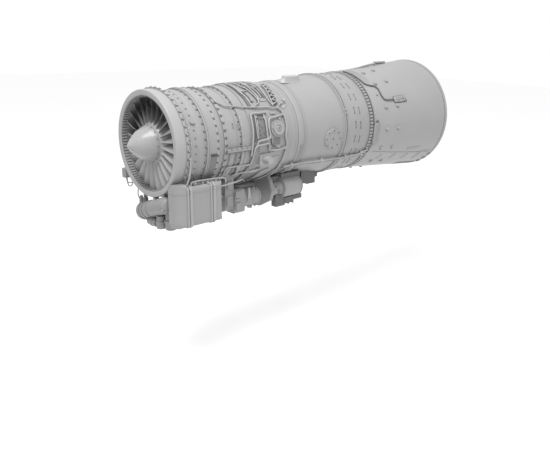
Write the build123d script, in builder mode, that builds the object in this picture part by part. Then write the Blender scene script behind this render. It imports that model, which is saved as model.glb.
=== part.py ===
from build123d import *
from math import asin, cos, degrees, pi, radians, sin, tan
import os

os.makedirs("parts", exist_ok=True)

# Two-spool turbojet with afterburner. Millimetres.
# +Y runs aft along the engine axis, +Z is up, +X is the left flank with the accessories.
# The origin is on the axis, in the plane of the inlet lip. Angles go from +X towards +Z.

# Fits and clearances
RUNNING_FIT = 0.05      # radial play of a journal in its bearing
SEAT = 0.3              # play between turned pieces that sit in or on each other
TIP_GAP = 3.0           # blade tip to casing
CAN_FACETS = 4          # facets round the shoulder of a rounded can

# Inlet and low-pressure compressor casing
INLET_BORE = 337.0
LIP_RADIUS = 382.0
LIP_ROUND = 9.0
INLET_LENGTH = 88.0
FLANGE = 8.0            # thickness of one casing flange
FRONT_FLANGE_RADIUS = 392.0
LOW_CASE_RADIUS = 366.0
LOW_RIM_Y = 262.0
LOW_RIM_RADIUS = 376.0
LOW_CASE_END = 346.0

# Middle frame between the spools
MID_FRAME_END = 412.0
MID_FLANGE_RADIUS = 376.0
MID_CASE_RADIUS = 364.0
MID_HUB_RADIUS = 262.0
MID_STRUTS = 8

# High-pressure compressor casing, split along the horizontal joint
HIGH_CASE_RADIUS = 366.0
HIGH_BORE = 334.0
HIGH_RIM_Y = 568.0
HIGH_RIM_RADIUS = 378.0
HIGH_CASE_END = 640.0
SPLIT_FLANGE_WIDTH = 16.0
SPLIT_FLANGE = 7.0
SPLIT_TURN = 7.5       # the joint dips this much on the left flank

# Stator vanes: (station, hub radius) of each compressor row, (station, count) of each turbine row
LOW_VANES = 28
LOW_VANE_ROWS = ((142.0, 213.0), (232.0, 243.0), (330.0, 262.0))
HIGH_VANES = 30
HIGH_VANE_ROWS = ((486.0, 286.0), (556.0, 290.0), (620.0, 292.0))
GUIDE_VANE_ROWS = ((1206.0, 36), (1300.0, 32))
GUIDE_VANE_CHORD = 34.0
VANE_BAND = 4.0

# Combustion section
BURNER_CASE_RADIUS = 385.0
BURNER_CASE_END = 1163.0
BURNER_WALL = 8.0
BURNER_FLANGE_RADIUS = 393.0
INNER_CASE_RADIUS = 225.0
INNER_WALL = 6.0
FLAME_TUBE_START = 770.0
FLAME_TUBE_END = 1135.0
FLAME_TUBE_OUTER = 345.0
FLAME_TUBE_INNER = 252.0
FLAME_TUBE_WALL = 4.0
BURNERS = 10

# Turbine casing, a cone that opens aft
TURBINE_START_RADIUS = 386.0
TURBINE_END_RADIUS = 428.0
TURBINE_END = 1634.0
TURBINE_WALL = 8.0
REAR_FLANGE_RADIUS = 437.0
CONE_RADIUS = 284.0
CONE_START = 1392.0
CONE_END = 1765.0
CONE_STRUTS = 6
CONE_FACETS = 6

# Afterburner
DIFFUSER_END = 1985.0
DIFFUSER_END_RADIUS = 436.0
DIFFUSER_WALL = 5.0
BAND_START = 1921.0
BAND_HEIGHT = 5.0
GUTTER_RADIUS = 235.0
GUTTER_Y = 1800.0
GUTTER_DEPTH = 46.0
GUTTER_HALF = 24.0
GUTTER_ARMS = 8
PIPE_RADIUS = 405.0
PIPE_CONE_END = 2090.0
PIPE_WALL = 4.0
PIPE_END = 2575.0
SHROUD_FRONT_RADIUS = 441.0
SHROUD_END = 3000.0
SHROUD_END_RADIUS = 532.0
SHROUD_WALL = 5.0

# Nozzle flaps, hinged round the end of the pipe and closed by a sliding ring
FLAPS = 12
HINGE_Y = 2598.0
HINGE_RADIUS = 420.0
FLAP_LENGTH = 385.0
FLAP_PLATE = 6.0
FLAP_OPEN_DROP = 20.0   # how far the tip lies inside the hinge circle when open
FLAP_CLOSED_DROP = 115.0
HINGE_PIN_RADIUS = 5.0
BARREL_RADIUS = 9.0
BARREL_HALF = 23.0
EAR_WIDTH = 8.0
CAM_WIDTH = 10.0
RING_STROKE = 90.0
RING_LENGTH = 24.0
RING_BORE = 451.0
RING_RADIUS = 473.0
RING_Y = 2616.0         # front face of the ring with the nozzle open
RODS = 4
ROD_RADIUS = 6.0
ROD_CIRCLE = 461.0
JACK_RADIUS = 12.0
JACK_START = 2446.0
JACK_END = 2570.0

# Rotors
SPINNER_TIP = -146.0
SPINNER_RADIUS = 137.0
SPINNER_FACETS = 8
FAN_START = 34.0
FAN_BLADE_Y = 74.0
FAN_END = 122.0
FAN_BLADES = 24
FAN_HUB_END = 196.0
LOW_JOURNAL = 45.0
LOW_SHAFT_BORE = 30.0
HIGH_JOURNAL = 72.0
HIGH_SHAFT_BORE = 56.0
LOW_SHAFT_END = 1462.0
HIGH_SHAFT_START = 394.0
HIGH_SHAFT_END = 1276.0
HIGH_DISC_Y = 1252.0
LOW_DISC_Y = 1352.0
DISC_RIM = 284.0
TURBINE_BLADES = 40

# Oil tank on the lower left flank
TANK_START = -12.0
TANK_END = 369.0
TANK_INNER_X = 275.0
TANK_OUTER_X = 385.0
TANK_TOP = -255.0
TANK_BOTTOM = -545.0
TANK_ROUND = 26.0
TANK_FRONT_ROUND = 70.0
TANK_REAR_ROUND = 24.0
TANK_LOBE_END = 68.0    # the front lobe stands higher as far as this
TANK_LOBE_RISE = 18.0
STRAPS = (73.0, 271.0)
STRAP_WIDTH = 28.0
STRAP_THICKNESS = 4.0
CAP_RADIUS = 22.0
CAP_X = 338.0
CAP_Y = 160.0

# Accessories under the casings
COOLER_RADIUS = 62.0
COOLER_HALF = 190.0
COOLER_X = 70.0
COOLER_Y = 20.0
COOLER_Z = -453.5
COOLER_TILT = 18.9      # follows the round of the inlet ring
GEARBOX_START = 478.0
GEARBOX_END = 556.0
GEARBOX_BOTTOM = -560.0
PUMP_X = 205.0
PUMP_Z = -470.0
PUMP_RADIUS = 74.0
PUMP_END = 830.0
PUMP_BLOCK = 156.0        # leaves the lever free to swing past it
PUMP_BLOCK_LENGTH = 96.0
LEVER_Y = 690.0
LEVER_LENGTH = 86.0
LEVER_PIN_RADIUS = 7.0
REAR_PAD_START = 930.0
REAR_PAD_END = 962.0
STARTER_X = 205.0
STARTER_Z = -452.0
STARTER_RADIUS = 69.0
STARTER_NECK = 50.0
STARTER_DRUM = 1112.0   # front of the drum
STARTER_END = 1268.0
BOOST_X = 50.0
BOOST_Z = -540.0
FILTER_X = 60.0
FILTER_Z = -500.0
FILTER_RADIUS = 52.0
FILTER_START = 150.0
TRUNNION_Y = 772.0
TRUNNION_Z = -150.0
TRUNNION_RADIUS = 27.0
TRUNNION_REACH = 448.0

# Fuel controls: (start, end, west, east, bottom) of each block
CONTROL_START = 1340.0
CONTROL_WEST = 30.0
CONTROL_BLOCKS = (
    (CONTROL_START, 1440.0, CONTROL_WEST, 190.0, -470.0),
    (1440.0, 1536.0, CONTROL_WEST, 160.0, -492.0),
    (1536.0, 1600.0, CONTROL_WEST, 120.0, -448.0),
)

# Fittings on the casings
FIN_START = 1218.0
FIN_END = 1379.0
FIN_TOP = 441.0
FIN_THICKNESS = 14.0
FIN_HOLE = 12.0
FIN_TURN = 12.0
VALVE_Y = 893.0
VALVE_ANGLE = 11.0
VALVE_RADIUS = 65.0
COVER_Y = 1483.0
COVER_ANGLE = -9.0
COVER_RADIUS = 87.0
BRACKET_Y = 2360.0
BRACKET_ANGLE = 26.0
RAIL_START = 1998.0
RAIL_END = 2454.0
RAIL_RISE = 24.0
RAIL_WIDTH = 12.0
BLEED_PIPE_RADIUS = 7.5
JACK_PIPE_RADIUS = 7.0


def turbine_radius(station):
    """Outer radius of the turbine cone at a station."""
    share = (station - BURNER_CASE_END) / (TURBINE_END - BURNER_CASE_END)
    return TURBINE_START_RADIUS + share * (TURBINE_END_RADIUS - TURBINE_START_RADIUS)


def diffuser_bore(station):
    """Inner radius of the afterburner diffuser at a station."""
    front = TURBINE_END_RADIUS - TURBINE_WALL
    share = (station - TURBINE_END) / (BAND_START - TURBINE_END)
    return front + share * (DIFFUSER_END_RADIUS - DIFFUSER_WALL - front)


def shroud_radius(station):
    """Outer radius of the nozzle shroud at a station."""
    share = (station - DIFFUSER_END) / (SHROUD_END - DIFFUSER_END)
    return SHROUD_FRONT_RADIUS + share * (SHROUD_END_RADIUS - SHROUD_FRONT_RADIUS)


def outward(angle, radius, station):
    """Plane that faces away from the axis: x runs aft, y round the engine."""
    across = (cos(radians(angle)), 0, sin(radians(angle)))
    place = (radius * across[0], station, radius * across[2])
    return Plane(origin=place, x_dir=(0, 1, 0), z_dir=across)


def around(shape, count, first=0.0):
    """Copies of one shape, evenly spaced round the axis."""
    return [shape.rotate(Axis.Y, first + 360.0 / count * number) for number in range(count)]


def engine_core(outline):
    """Solid of revolution inside an outline of (station, radius), used to cut saddles."""
    with BuildPart() as core:
        with BuildSketch(Plane.XY):
            with BuildLine():
                points = [(radius, station) for station, radius in outline]
                Polyline((0, outline[0][0]), *points, (0, outline[-1][0]), close=True)
            make_face()
        revolve(axis=Axis.Y)
    return core.part


def curve_points(start, first, second, end, pieces):
    """Points along a cubic curve given by its ends and its two handles."""
    points = []
    for number in range(pieces + 1):
        t = number / pieces
        weights = ((1 - t) ** 3, 3 * t * (1 - t) ** 2, 3 * t * t * (1 - t), t ** 3)
        handles = (start, first, second, end)
        points.append(tuple(sum(weight * handle[k] for weight, handle in zip(weights, handles)) for k in (0, 1)))
    return points


def rounded_can(plane, start, end, radius, rounding):
    """Turned body along the plane's x axis, flat where it starts and rounded where it ends."""
    side = 1 if end > start else -1
    turns = [radians(90.0 * number / CAN_FACETS) for number in range(CAN_FACETS + 1)]
    shoulder = [
        (end - side * rounding * (1 - sin(turn)), radius - rounding * (1 - cos(turn)))
        for turn in turns
    ]
    with BuildPart() as body:
        with BuildSketch(plane):
            with BuildLine():
                Polyline((start, 0), (start, radius), *shoulder, (end, 0), close=True)
            make_face()
        revolve(axis=Axis(plane.origin, plane.x_dir))
    return body.part


def flat_blade(station, chord, thickness, stagger, root, tip):
    """One straight vane or blade, set across the flow by its stagger angle."""
    with BuildPart() as blade:
        with BuildSketch(outward(90, root, station)):
            Rectangle(chord, thickness, rotation=stagger)
        extrude(amount=tip - root)
    return blade.part


def seated_blade(station, chord, thickness, stagger, tip, drum):
    """Blade whose root follows the drum that carries it; the drum is an outline of (station, radius)."""
    root = min(radius for _, radius in drum)
    with BuildPart() as blade:
        add(flat_blade(station, chord, thickness, stagger, root, tip))
        add(engine_core([(place, radius + SEAT) for place, radius in drum]), mode=Mode.SUBTRACT)
    return blade.part


def finish(piece, name):
    """Names a finished piece and writes its file."""
    piece.part.label = name
    export_step(piece.part, "parts/" + name + ".step")


# Inlet ring: the rounded lip and the smooth band up to the first bolted flange
def build_inlet_ring():
    with BuildPart() as inlet_ring:
        with BuildSketch(Plane.XY):
            with BuildLine():
                Polyline(
                    (INLET_BORE, INLET_LENGTH),
                    (INLET_BORE, LIP_ROUND),
                    (INLET_BORE + LIP_ROUND, 0),
                    (LIP_RADIUS - LIP_ROUND, 0),
                )
                ThreePointArc(
                    (LIP_RADIUS - LIP_ROUND, 0),
                    (LIP_RADIUS - LIP_ROUND * (1 - cos(pi / 4)), LIP_ROUND * (1 - sin(pi / 4))),
                    (LIP_RADIUS, LIP_ROUND),
                )
                Polyline(
                    (LIP_RADIUS, LIP_ROUND),
                    (LIP_RADIUS, INLET_LENGTH - FLANGE),
                    (FRONT_FLANGE_RADIUS, INLET_LENGTH - FLANGE),
                    (FRONT_FLANGE_RADIUS, INLET_LENGTH),
                    (INLET_BORE, INLET_LENGTH),
                )
            make_face()
        revolve(axis=Axis.Y)
    finish(inlet_ring, "inlet_ring")


# Low-pressure compressor casing
def build_low_pressure_case():
    with BuildPart() as low_pressure_case:
        with BuildSketch(Plane.XY):
            with BuildLine():
                Polyline(
                    (INLET_BORE, INLET_LENGTH),
                    (FRONT_FLANGE_RADIUS, INLET_LENGTH),
                    (FRONT_FLANGE_RADIUS, INLET_LENGTH + FLANGE),
                    (LOW_CASE_RADIUS, INLET_LENGTH + FLANGE),
                    (LOW_CASE_RADIUS, LOW_RIM_Y - FLANGE),
                    (LOW_RIM_RADIUS, LOW_RIM_Y - FLANGE),
                    (LOW_RIM_RADIUS, LOW_CASE_END),
                    (INLET_BORE, LOW_CASE_END),
                    close=True,
                )
            make_face()
        revolve(axis=Axis.Y)
    finish(low_pressure_case, "low_pressure_case")


# Middle frame: outer ring, eight struts and the hub that carries both front bearings
def build_mid_frame():
    with BuildPart() as mid_frame:
        with BuildSketch(Plane.XY):
            with BuildLine():
                Polyline(
                    (INLET_BORE, LOW_CASE_END),
                    (MID_FLANGE_RADIUS, LOW_CASE_END),
                    (MID_FLANGE_RADIUS, LOW_CASE_END + FLANGE),
                    (MID_CASE_RADIUS, LOW_CASE_END + FLANGE),
                    (MID_CASE_RADIUS, MID_FRAME_END - FLANGE),
                    (MID_FLANGE_RADIUS, MID_FRAME_END - FLANGE),
                    (MID_FLANGE_RADIUS, MID_FRAME_END),
                    (INLET_BORE, MID_FRAME_END),
                    close=True,
                )
            make_face()
        revolve(axis=Axis.Y)
        with BuildSketch(Plane.XY):
            with BuildLine():
                Polyline(
                    (LOW_JOURNAL + RUNNING_FIT, LOW_CASE_END + 4),
                    (LOW_JOURNAL + 30, LOW_CASE_END + 4),
                    (MID_HUB_RADIUS, LOW_CASE_END + 10),
                    (MID_HUB_RADIUS, MID_FRAME_END - 10),
                    (HIGH_JOURNAL + 22, MID_FRAME_END),
                    (HIGH_JOURNAL + RUNNING_FIT, MID_FRAME_END),
                    (HIGH_JOURNAL + RUNNING_FIT, HIGH_SHAFT_START - 4),
                    (LOW_JOURNAL + RUNNING_FIT, HIGH_SHAFT_START - 4),
                    close=True,
                )
            make_face()
        revolve(axis=Axis.Y)
        middle = (LOW_CASE_END + MID_FRAME_END) / 2
        strut = flat_blade(middle, 44, 14, 0, MID_HUB_RADIUS - 6, INLET_BORE + 4)
        add(around(strut, MID_STRUTS))
    finish(mid_frame, "mid_frame")


# High-pressure compressor casing: two half shells bolted along the horizontal joint
def high_pressure_half(side):
    with BuildPart() as half:
        with BuildSketch(Plane.XY):
            with BuildLine():
                Polyline(
                    (HIGH_BORE, MID_FRAME_END),
                    (MID_FLANGE_RADIUS, MID_FRAME_END),
                    (MID_FLANGE_RADIUS, MID_FRAME_END + FLANGE),
                    (HIGH_CASE_RADIUS, MID_FRAME_END + FLANGE),
                    (HIGH_CASE_RADIUS, HIGH_RIM_Y - FLANGE),
                    (HIGH_RIM_RADIUS, HIGH_RIM_Y - FLANGE),
                    (HIGH_RIM_RADIUS, HIGH_CASE_END),
                    (HIGH_BORE, HIGH_CASE_END),
                    close=True,
                )
            make_face()
        revolve(axis=Axis.Y, revolution_arc=180)
        for edge in (-1, 1):
            reach = HIGH_RIM_RADIUS + SPLIT_FLANGE_WIDTH
            width = reach - HIGH_BORE - 10
            middle = (MID_FRAME_END + FLANGE + HIGH_CASE_END) / 2
            with Locations((edge * (reach - width / 2), middle, -SPLIT_FLANGE / 2)):
                Box(width, HIGH_CASE_END - MID_FRAME_END - FLANGE, SPLIT_FLANGE)
    return half.part.rotate(Axis.Y, SPLIT_TURN if side < 0 else 180 + SPLIT_TURN)


def build_high_pressure_cases():
    with BuildPart() as high_pressure_case_lower:
        add(high_pressure_half(-1))
    finish(high_pressure_case_lower, "high_pressure_case_lower")
    with BuildPart() as high_pressure_case_upper:
        add(high_pressure_half(1))
    finish(high_pressure_case_upper, "high_pressure_case_upper")


# Combustion section: outer casing, inner casing with its bearing, flame tube and burners
def build_combustion():
    inside = BURNER_CASE_RADIUS - BURNER_WALL
    with BuildPart() as burner_case:
        with BuildSketch(Plane.XY):
            with BuildLine():
                Polyline(
                    (HIGH_BORE, HIGH_CASE_END),
                    (BURNER_CASE_RADIUS, HIGH_CASE_END),
                    (BURNER_CASE_RADIUS, BURNER_CASE_END - FLANGE - 3),
                    (BURNER_FLANGE_RADIUS, BURNER_CASE_END - FLANGE - 3),
                    (BURNER_FLANGE_RADIUS, BURNER_CASE_END),
                    (inside, BURNER_CASE_END),
                    (inside, HIGH_CASE_END + 60),
                    (HIGH_BORE, HIGH_CASE_END + FLANGE),
                    close=True,
                )
            make_face()
        revolve(axis=Axis.Y)
    finish(burner_case, "burner_case")

    with BuildPart() as inner_case:
        hub = 286
        with BuildSketch(Plane.XY):
            with BuildLine():
                Polyline(
                    (hub, HIGH_CASE_END + 2),
                    (INNER_CASE_RADIUS, HIGH_CASE_END + 90),
                    (INNER_CASE_RADIUS, FLAME_TUBE_END - 20),
                    (hub, FLAME_TUBE_END + 48),
                    (hub - INNER_WALL, FLAME_TUBE_END + 48),
                    (INNER_CASE_RADIUS - INNER_WALL, FLAME_TUBE_END - 12),
                    (HIGH_JOURNAL + 20, FLAME_TUBE_END - 12),
                    (HIGH_JOURNAL + RUNNING_FIT, FLAME_TUBE_END - 12),
                    (HIGH_JOURNAL + RUNNING_FIT, FLAME_TUBE_END - 44),
                    (HIGH_JOURNAL + 20, FLAME_TUBE_END - 44),
                    (INNER_CASE_RADIUS - INNER_WALL, FLAME_TUBE_END - 24),
                    (INNER_CASE_RADIUS - INNER_WALL, HIGH_CASE_END + 94),
                    (hub - INNER_WALL, HIGH_CASE_END + 2),
                    close=True,
                )
            make_face()
        revolve(axis=Axis.Y)
        strut = flat_blade(HIGH_CASE_END + 84, 44, 8, 0, INNER_CASE_RADIUS - 2, inside - SEAT - 0.4)
        add(around(strut, BURNERS, 180.0 / BURNERS))
    finish(inner_case, "inner_case")

    with BuildPart() as flame_tube:
        with BuildSketch(Plane.XY):
            with BuildLine():
                Polyline(
                    (FLAME_TUBE_OUTER - 16, FLAME_TUBE_START),
                    (FLAME_TUBE_OUTER, FLAME_TUBE_START + 34),
                    (FLAME_TUBE_OUTER, FLAME_TUBE_END),
                    (FLAME_TUBE_OUTER - FLAME_TUBE_WALL, FLAME_TUBE_END),
                    (FLAME_TUBE_OUTER - FLAME_TUBE_WALL, FLAME_TUBE_START + 36),
                    (FLAME_TUBE_OUTER - 18, FLAME_TUBE_START + FLAME_TUBE_WALL),
                    (FLAME_TUBE_INNER + 18, FLAME_TUBE_START + FLAME_TUBE_WALL),
                    (FLAME_TUBE_INNER + FLAME_TUBE_WALL, FLAME_TUBE_START + 36),
                    (FLAME_TUBE_INNER + FLAME_TUBE_WALL, FLAME_TUBE_END),
                    (FLAME_TUBE_INNER, FLAME_TUBE_END),
                    (FLAME_TUBE_INNER, FLAME_TUBE_START + 34),
                    (FLAME_TUBE_INNER + 16, FLAME_TUBE_START),
                    close=True,
                )
            make_face()
        revolve(axis=Axis.Y)
    finish(flame_tube, "flame_tube")

    middle = (FLAME_TUBE_OUTER + FLAME_TUBE_INNER) / 2
    with BuildPart() as burner:
        with BuildSketch(Plane.XZ.offset(-FLAME_TUBE_START)):
            with Locations((0, middle)):
                RegularPolygon(13, 6)
        extrude(amount=34)
        with BuildSketch(Plane.XY.offset(middle)):
            with Locations((0, FLAME_TUBE_START - 24)):
                RegularPolygon(9, 6)
        extrude(amount=inside - SEAT - middle - 0.2)
    with BuildPart() as burners:
        add(around(burner.part, BURNERS))
    finish(burners, "burners")


# Stator vanes: rows that stand in the bores of the casings, each with a band round its inner ends
def vane_row(station, chord, thickness, stagger, hub, wall, count):
    with BuildPart() as row:
        add(around(flat_blade(station, chord, thickness, stagger, hub + VANE_BAND / 2, wall - SEAT), count))
        with BuildSketch(Plane.XZ.offset(-(station - chord * 0.4))):
            Circle(hub + VANE_BAND)
            Circle(hub, mode=Mode.SUBTRACT)
        extrude(amount=-chord * 0.8)
    return row.part


def build_stator_vanes():
    with BuildPart() as stator_vanes:
        for station, hub in LOW_VANE_ROWS:
            add(vane_row(station, 26, 4, 28, hub, INLET_BORE, LOW_VANES))
        for station, hub in HIGH_VANE_ROWS:
            add(vane_row(station, 22, 3.5, 25, hub, HIGH_BORE, HIGH_VANES))
        for station, count in GUIDE_VANE_ROWS:
            wall = turbine_radius(station - GUIDE_VANE_CHORD / 2) - TURBINE_WALL
            add(vane_row(station, GUIDE_VANE_CHORD, 7, -34, DISC_RIM + 4, wall, count))
    finish(stator_vanes, "stator_vanes")


# Turbine casing, and the exhaust cone on its struts
def build_turbine_case():
    with BuildPart() as turbine_case:
        with BuildSketch(Plane.XY):
            with BuildLine():
                Polyline(
                    (TURBINE_START_RADIUS - TURBINE_WALL, BURNER_CASE_END),
                    (BURNER_FLANGE_RADIUS, BURNER_CASE_END),
                    (BURNER_FLANGE_RADIUS, BURNER_CASE_END + FLANGE + 3),
                    (turbine_radius(BURNER_CASE_END + FLANGE + 3), BURNER_CASE_END + FLANGE + 3),
                    (turbine_radius(TURBINE_END - FLANGE), TURBINE_END - FLANGE),
                    (REAR_FLANGE_RADIUS, TURBINE_END - FLANGE),
                    (REAR_FLANGE_RADIUS, TURBINE_END),
                    (TURBINE_END_RADIUS - TURBINE_WALL, TURBINE_END),
                    close=True,
                )
            make_face()
        revolve(axis=Axis.Y)
    finish(turbine_case, "turbine_case")

    with BuildPart() as exhaust_cone:
        with BuildSketch(Plane.XY):
            with BuildLine():
                tail = curve_points(
                    (CONE_RADIUS, CONE_START + 110),
                    (CONE_RADIUS - 14, CONE_START + 250),
                    (120, CONE_END - 20),
                    (0, CONE_END),
                    CONE_FACETS,
                )
                Polyline(
                    (LOW_JOURNAL + RUNNING_FIT, CONE_START),
                    (CONE_RADIUS, CONE_START),
                    *tail,
                    (0, CONE_END - 8),
                    (CONE_RADIUS - 40, CONE_START + 130),
                    (CONE_RADIUS - 6, CONE_START + 100),
                    (CONE_RADIUS - 6, CONE_START + 16),
                    (LOW_JOURNAL + 24, CONE_START + 16),
                    (LOW_JOURNAL + 24, CONE_START + 44),
                    (LOW_JOURNAL + RUNNING_FIT, CONE_START + 44),
                    close=True,
                )
            make_face()
        revolve(axis=Axis.Y)
        station = CONE_START + 58
        wall = turbine_radius(station - 38) - TURBINE_WALL
        strut = flat_blade(station, 76, 12, 0, CONE_RADIUS - 4, wall - SEAT - 0.2)
        add(around(strut, CONE_STRUTS))
    finish(exhaust_cone, "exhaust_cone")


# Afterburner: diffuser wall, flame holder, joint band, jet pipe
def build_afterburner():
    with BuildPart() as afterburner_diffuser:
        with BuildSketch(Plane.XY):
            with BuildLine():
                Polyline(
                    (TURBINE_END_RADIUS - TURBINE_WALL, TURBINE_END),
                    (REAR_FLANGE_RADIUS, TURBINE_END),
                    (REAR_FLANGE_RADIUS, TURBINE_END + FLANGE),
                    (TURBINE_END_RADIUS + 2, TURBINE_END + FLANGE),
                    (DIFFUSER_END_RADIUS, BAND_START),
                    (DIFFUSER_END_RADIUS, DIFFUSER_END),
                    (DIFFUSER_END_RADIUS - DIFFUSER_WALL, DIFFUSER_END),
                    (DIFFUSER_END_RADIUS - DIFFUSER_WALL, BAND_START),
                    close=True,
                )
            make_face()
        revolve(axis=Axis.Y)
    finish(afterburner_diffuser, "afterburner_diffuser")

    with BuildPart() as flame_holder:
        with BuildSketch(Plane.XY):
            with BuildLine():
                Polyline(
                    (GUTTER_RADIUS, GUTTER_Y),
                    (GUTTER_RADIUS + GUTTER_HALF, GUTTER_Y + GUTTER_DEPTH),
                    (GUTTER_RADIUS + GUTTER_HALF - 4, GUTTER_Y + GUTTER_DEPTH),
                    (GUTTER_RADIUS, GUTTER_Y + 8),
                    (GUTTER_RADIUS - GUTTER_HALF + 4, GUTTER_Y + GUTTER_DEPTH),
                    (GUTTER_RADIUS - GUTTER_HALF, GUTTER_Y + GUTTER_DEPTH),
                    close=True,
                )
            make_face()
        revolve(axis=Axis.Y)
        with BuildPart(mode=Mode.PRIVATE) as arm:
            with BuildSketch(outward(90, 60, GUTTER_Y - 6)):
                with BuildLine():
                    Polyline(
                        (0, 0),
                        (30, 16),
                        (30, 13),
                        (6, 0),
                        (30, -13),
                        (30, -16),
                        close=True,
                    )
                make_face()
            extrude(amount=diffuser_bore(GUTTER_Y - 6) - 2 * SEAT - 60)
        add(around(arm.part, GUTTER_ARMS))
    finish(flame_holder, "flame_holder")

    with BuildPart() as joint_band:
        bore = DIFFUSER_END_RADIUS + SEAT
        with BuildSketch(Plane.XY):
            with Locations((bore + BAND_HEIGHT / 2, (BAND_START + DIFFUSER_END) / 2)):
                Rectangle(BAND_HEIGHT, DIFFUSER_END - BAND_START - 4)
        revolve(axis=Axis.Y)
    finish(joint_band, "joint_band")

    with BuildPart() as jet_pipe:
        front = DIFFUSER_END_RADIUS - DIFFUSER_WALL
        with BuildSketch(Plane.XY):
            with BuildLine():
                Polyline(
                    (front, DIFFUSER_END),
                    (DIFFUSER_END_RADIUS + 3, DIFFUSER_END),
                    (DIFFUSER_END_RADIUS + 3, DIFFUSER_END + FLANGE),
                    (front + PIPE_WALL, DIFFUSER_END + FLANGE),
                    (PIPE_RADIUS, PIPE_CONE_END),
                    (PIPE_RADIUS, PIPE_END),
                    (PIPE_RADIUS - PIPE_WALL, PIPE_END),
                    (PIPE_RADIUS - PIPE_WALL, PIPE_CONE_END - 2),
                    close=True,
                )
            make_face()
        revolve(axis=Axis.Y)
    finish(jet_pipe, "jet_pipe")


# Nozzle shroud: the long cone that covers the jet pipe, jacks and flaps
def build_shroud():
    front = DIFFUSER_END + FLANGE
    lip = DIFFUSER_END_RADIUS - DIFFUSER_WALL + PIPE_WALL + SEAT
    with BuildPart() as nozzle_shroud:
        with BuildSketch(Plane.XY):
            with BuildLine():
                Polyline(
                    (SHROUD_END_RADIUS - SHROUD_WALL, SHROUD_END),
                    (shroud_radius(front + 4) - SHROUD_WALL, front + 4),
                    (lip, front + 4),
                    (lip, front),
                    (shroud_radius(front), front),
                    (shroud_radius(SHROUD_END - 6), SHROUD_END - 6),
                    (SHROUD_END_RADIUS - 1.5, SHROUD_END - 1.5),
                    close=True,
                )
            make_face()
        revolve(axis=Axis.Y)
    finish(nozzle_shroud, "nozzle_shroud")


# Nozzle: hinge ring with its ears and pins, jacks, sliding ring and rods
def build_nozzle_drive():
    ear_end = BARREL_RADIUS + 1
    ring_back = PIPE_END + 8
    with BuildPart() as hinge_ring:
        with BuildSketch(Plane.XY):
            with Locations((PIPE_RADIUS + 2, PIPE_END + 4)):
                Rectangle(14, 8)
        revolve(axis=Axis.Y)
        with BuildPart(mode=Mode.PRIVATE) as ears:
            inner_face = BARREL_HALF + 1
            for side in (-1, 1):
                start = inner_face if side > 0 else -inner_face - EAR_WIDTH
                with BuildSketch(Plane.YZ.offset(start)):
                    with Locations(((ring_back + HINGE_Y) / 2 - 2, HINGE_RADIUS - ear_end / 2 - 1)):
                        Rectangle(HINGE_Y - ring_back + 4, ear_end)
                    with Locations((HINGE_Y, HINGE_RADIUS)):
                        Circle(ear_end)
                extrude(amount=EAR_WIDTH)
            with BuildSketch(Plane.YZ.offset(-inner_face - 2)):
                with Locations((HINGE_Y, HINGE_RADIUS)):
                    Circle(HINGE_PIN_RADIUS)
            extrude(amount=2 * inner_face + 4)
        add(around(ears.part, FLAPS))
    finish(hinge_ring, "hinge_ring")

    corner = 180.0 / FLAPS
    with BuildPart() as jack:
        with BuildSketch(Plane.XZ.offset(-JACK_START)):
            with Locations((0, ROD_CIRCLE)):
                Circle(JACK_RADIUS)
        extrude(amount=JACK_START - JACK_END)
        for foot in (JACK_START + 14, JACK_END - 14):
            with Locations((0, foot, (PIPE_RADIUS + SEAT + ROD_CIRCLE - 8) / 2)):
                Box(12, 20, ROD_CIRCLE - 8 - PIPE_RADIUS - SEAT)
        with BuildSketch(Plane.XZ.offset(-JACK_START - 10)):
            with Locations((0, ROD_CIRCLE)):
                Circle(ROD_RADIUS + RUNNING_FIT)
        extrude(amount=JACK_START + 10 - JACK_END, mode=Mode.SUBTRACT)
    with BuildPart() as jacks:
        add(around(jack.part, RODS, corner))
    finish(jacks, "nozzle_jacks")

    with BuildPart() as control_ring:
        with BuildSketch(Plane.XY):
            with Locations(((RING_BORE + RING_RADIUS) / 2, RING_Y + RING_LENGTH / 2)):
                Rectangle(RING_RADIUS - RING_BORE, RING_LENGTH)
        revolve(axis=Axis.Y)
    finish(control_ring, "control_ring")

    with BuildPart() as rod:
        start = JACK_START + 24
        with BuildSketch(Plane.XZ.offset(-start)):
            with Locations((0, ROD_CIRCLE)):
                Circle(ROD_RADIUS)
        extrude(amount=start - RING_Y)
    with BuildPart() as rods:
        add(around(rod.part, RODS, corner))
    finish(rods, "jack_rods")


# One nozzle flap at the top, open; the wing beside it laps over the next flap
def flap_section(distance):
    """Half widths of the flap at a distance behind its hinge, open and closed."""
    half_step = radians(180.0 / FLAPS)
    open_corner = (HINGE_RADIUS - distance / FLAP_LENGTH * FLAP_OPEN_DROP) * tan(half_step)
    closed_corner = (HINGE_RADIUS - distance / FLAP_LENGTH * FLAP_CLOSED_DROP) * tan(half_step)
    return open_corner, closed_corner - 2.5


def cam_height(share):
    """Height of the cam over the hinge plane where the ring bears on it, part way shut."""
    middle = RING_Y - HINGE_Y + RING_LENGTH / 2 + share * RING_STROKE
    open_angle = asin(FLAP_OPEN_DROP / FLAP_LENGTH)
    closed_angle = asin(FLAP_CLOSED_DROP / FLAP_LENGTH)
    angle = open_angle + share * (closed_angle - open_angle)
    top = RING_BORE - 7.0
    return middle, (top - HINGE_RADIUS + middle * sin(angle)) / cos(angle)


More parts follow.
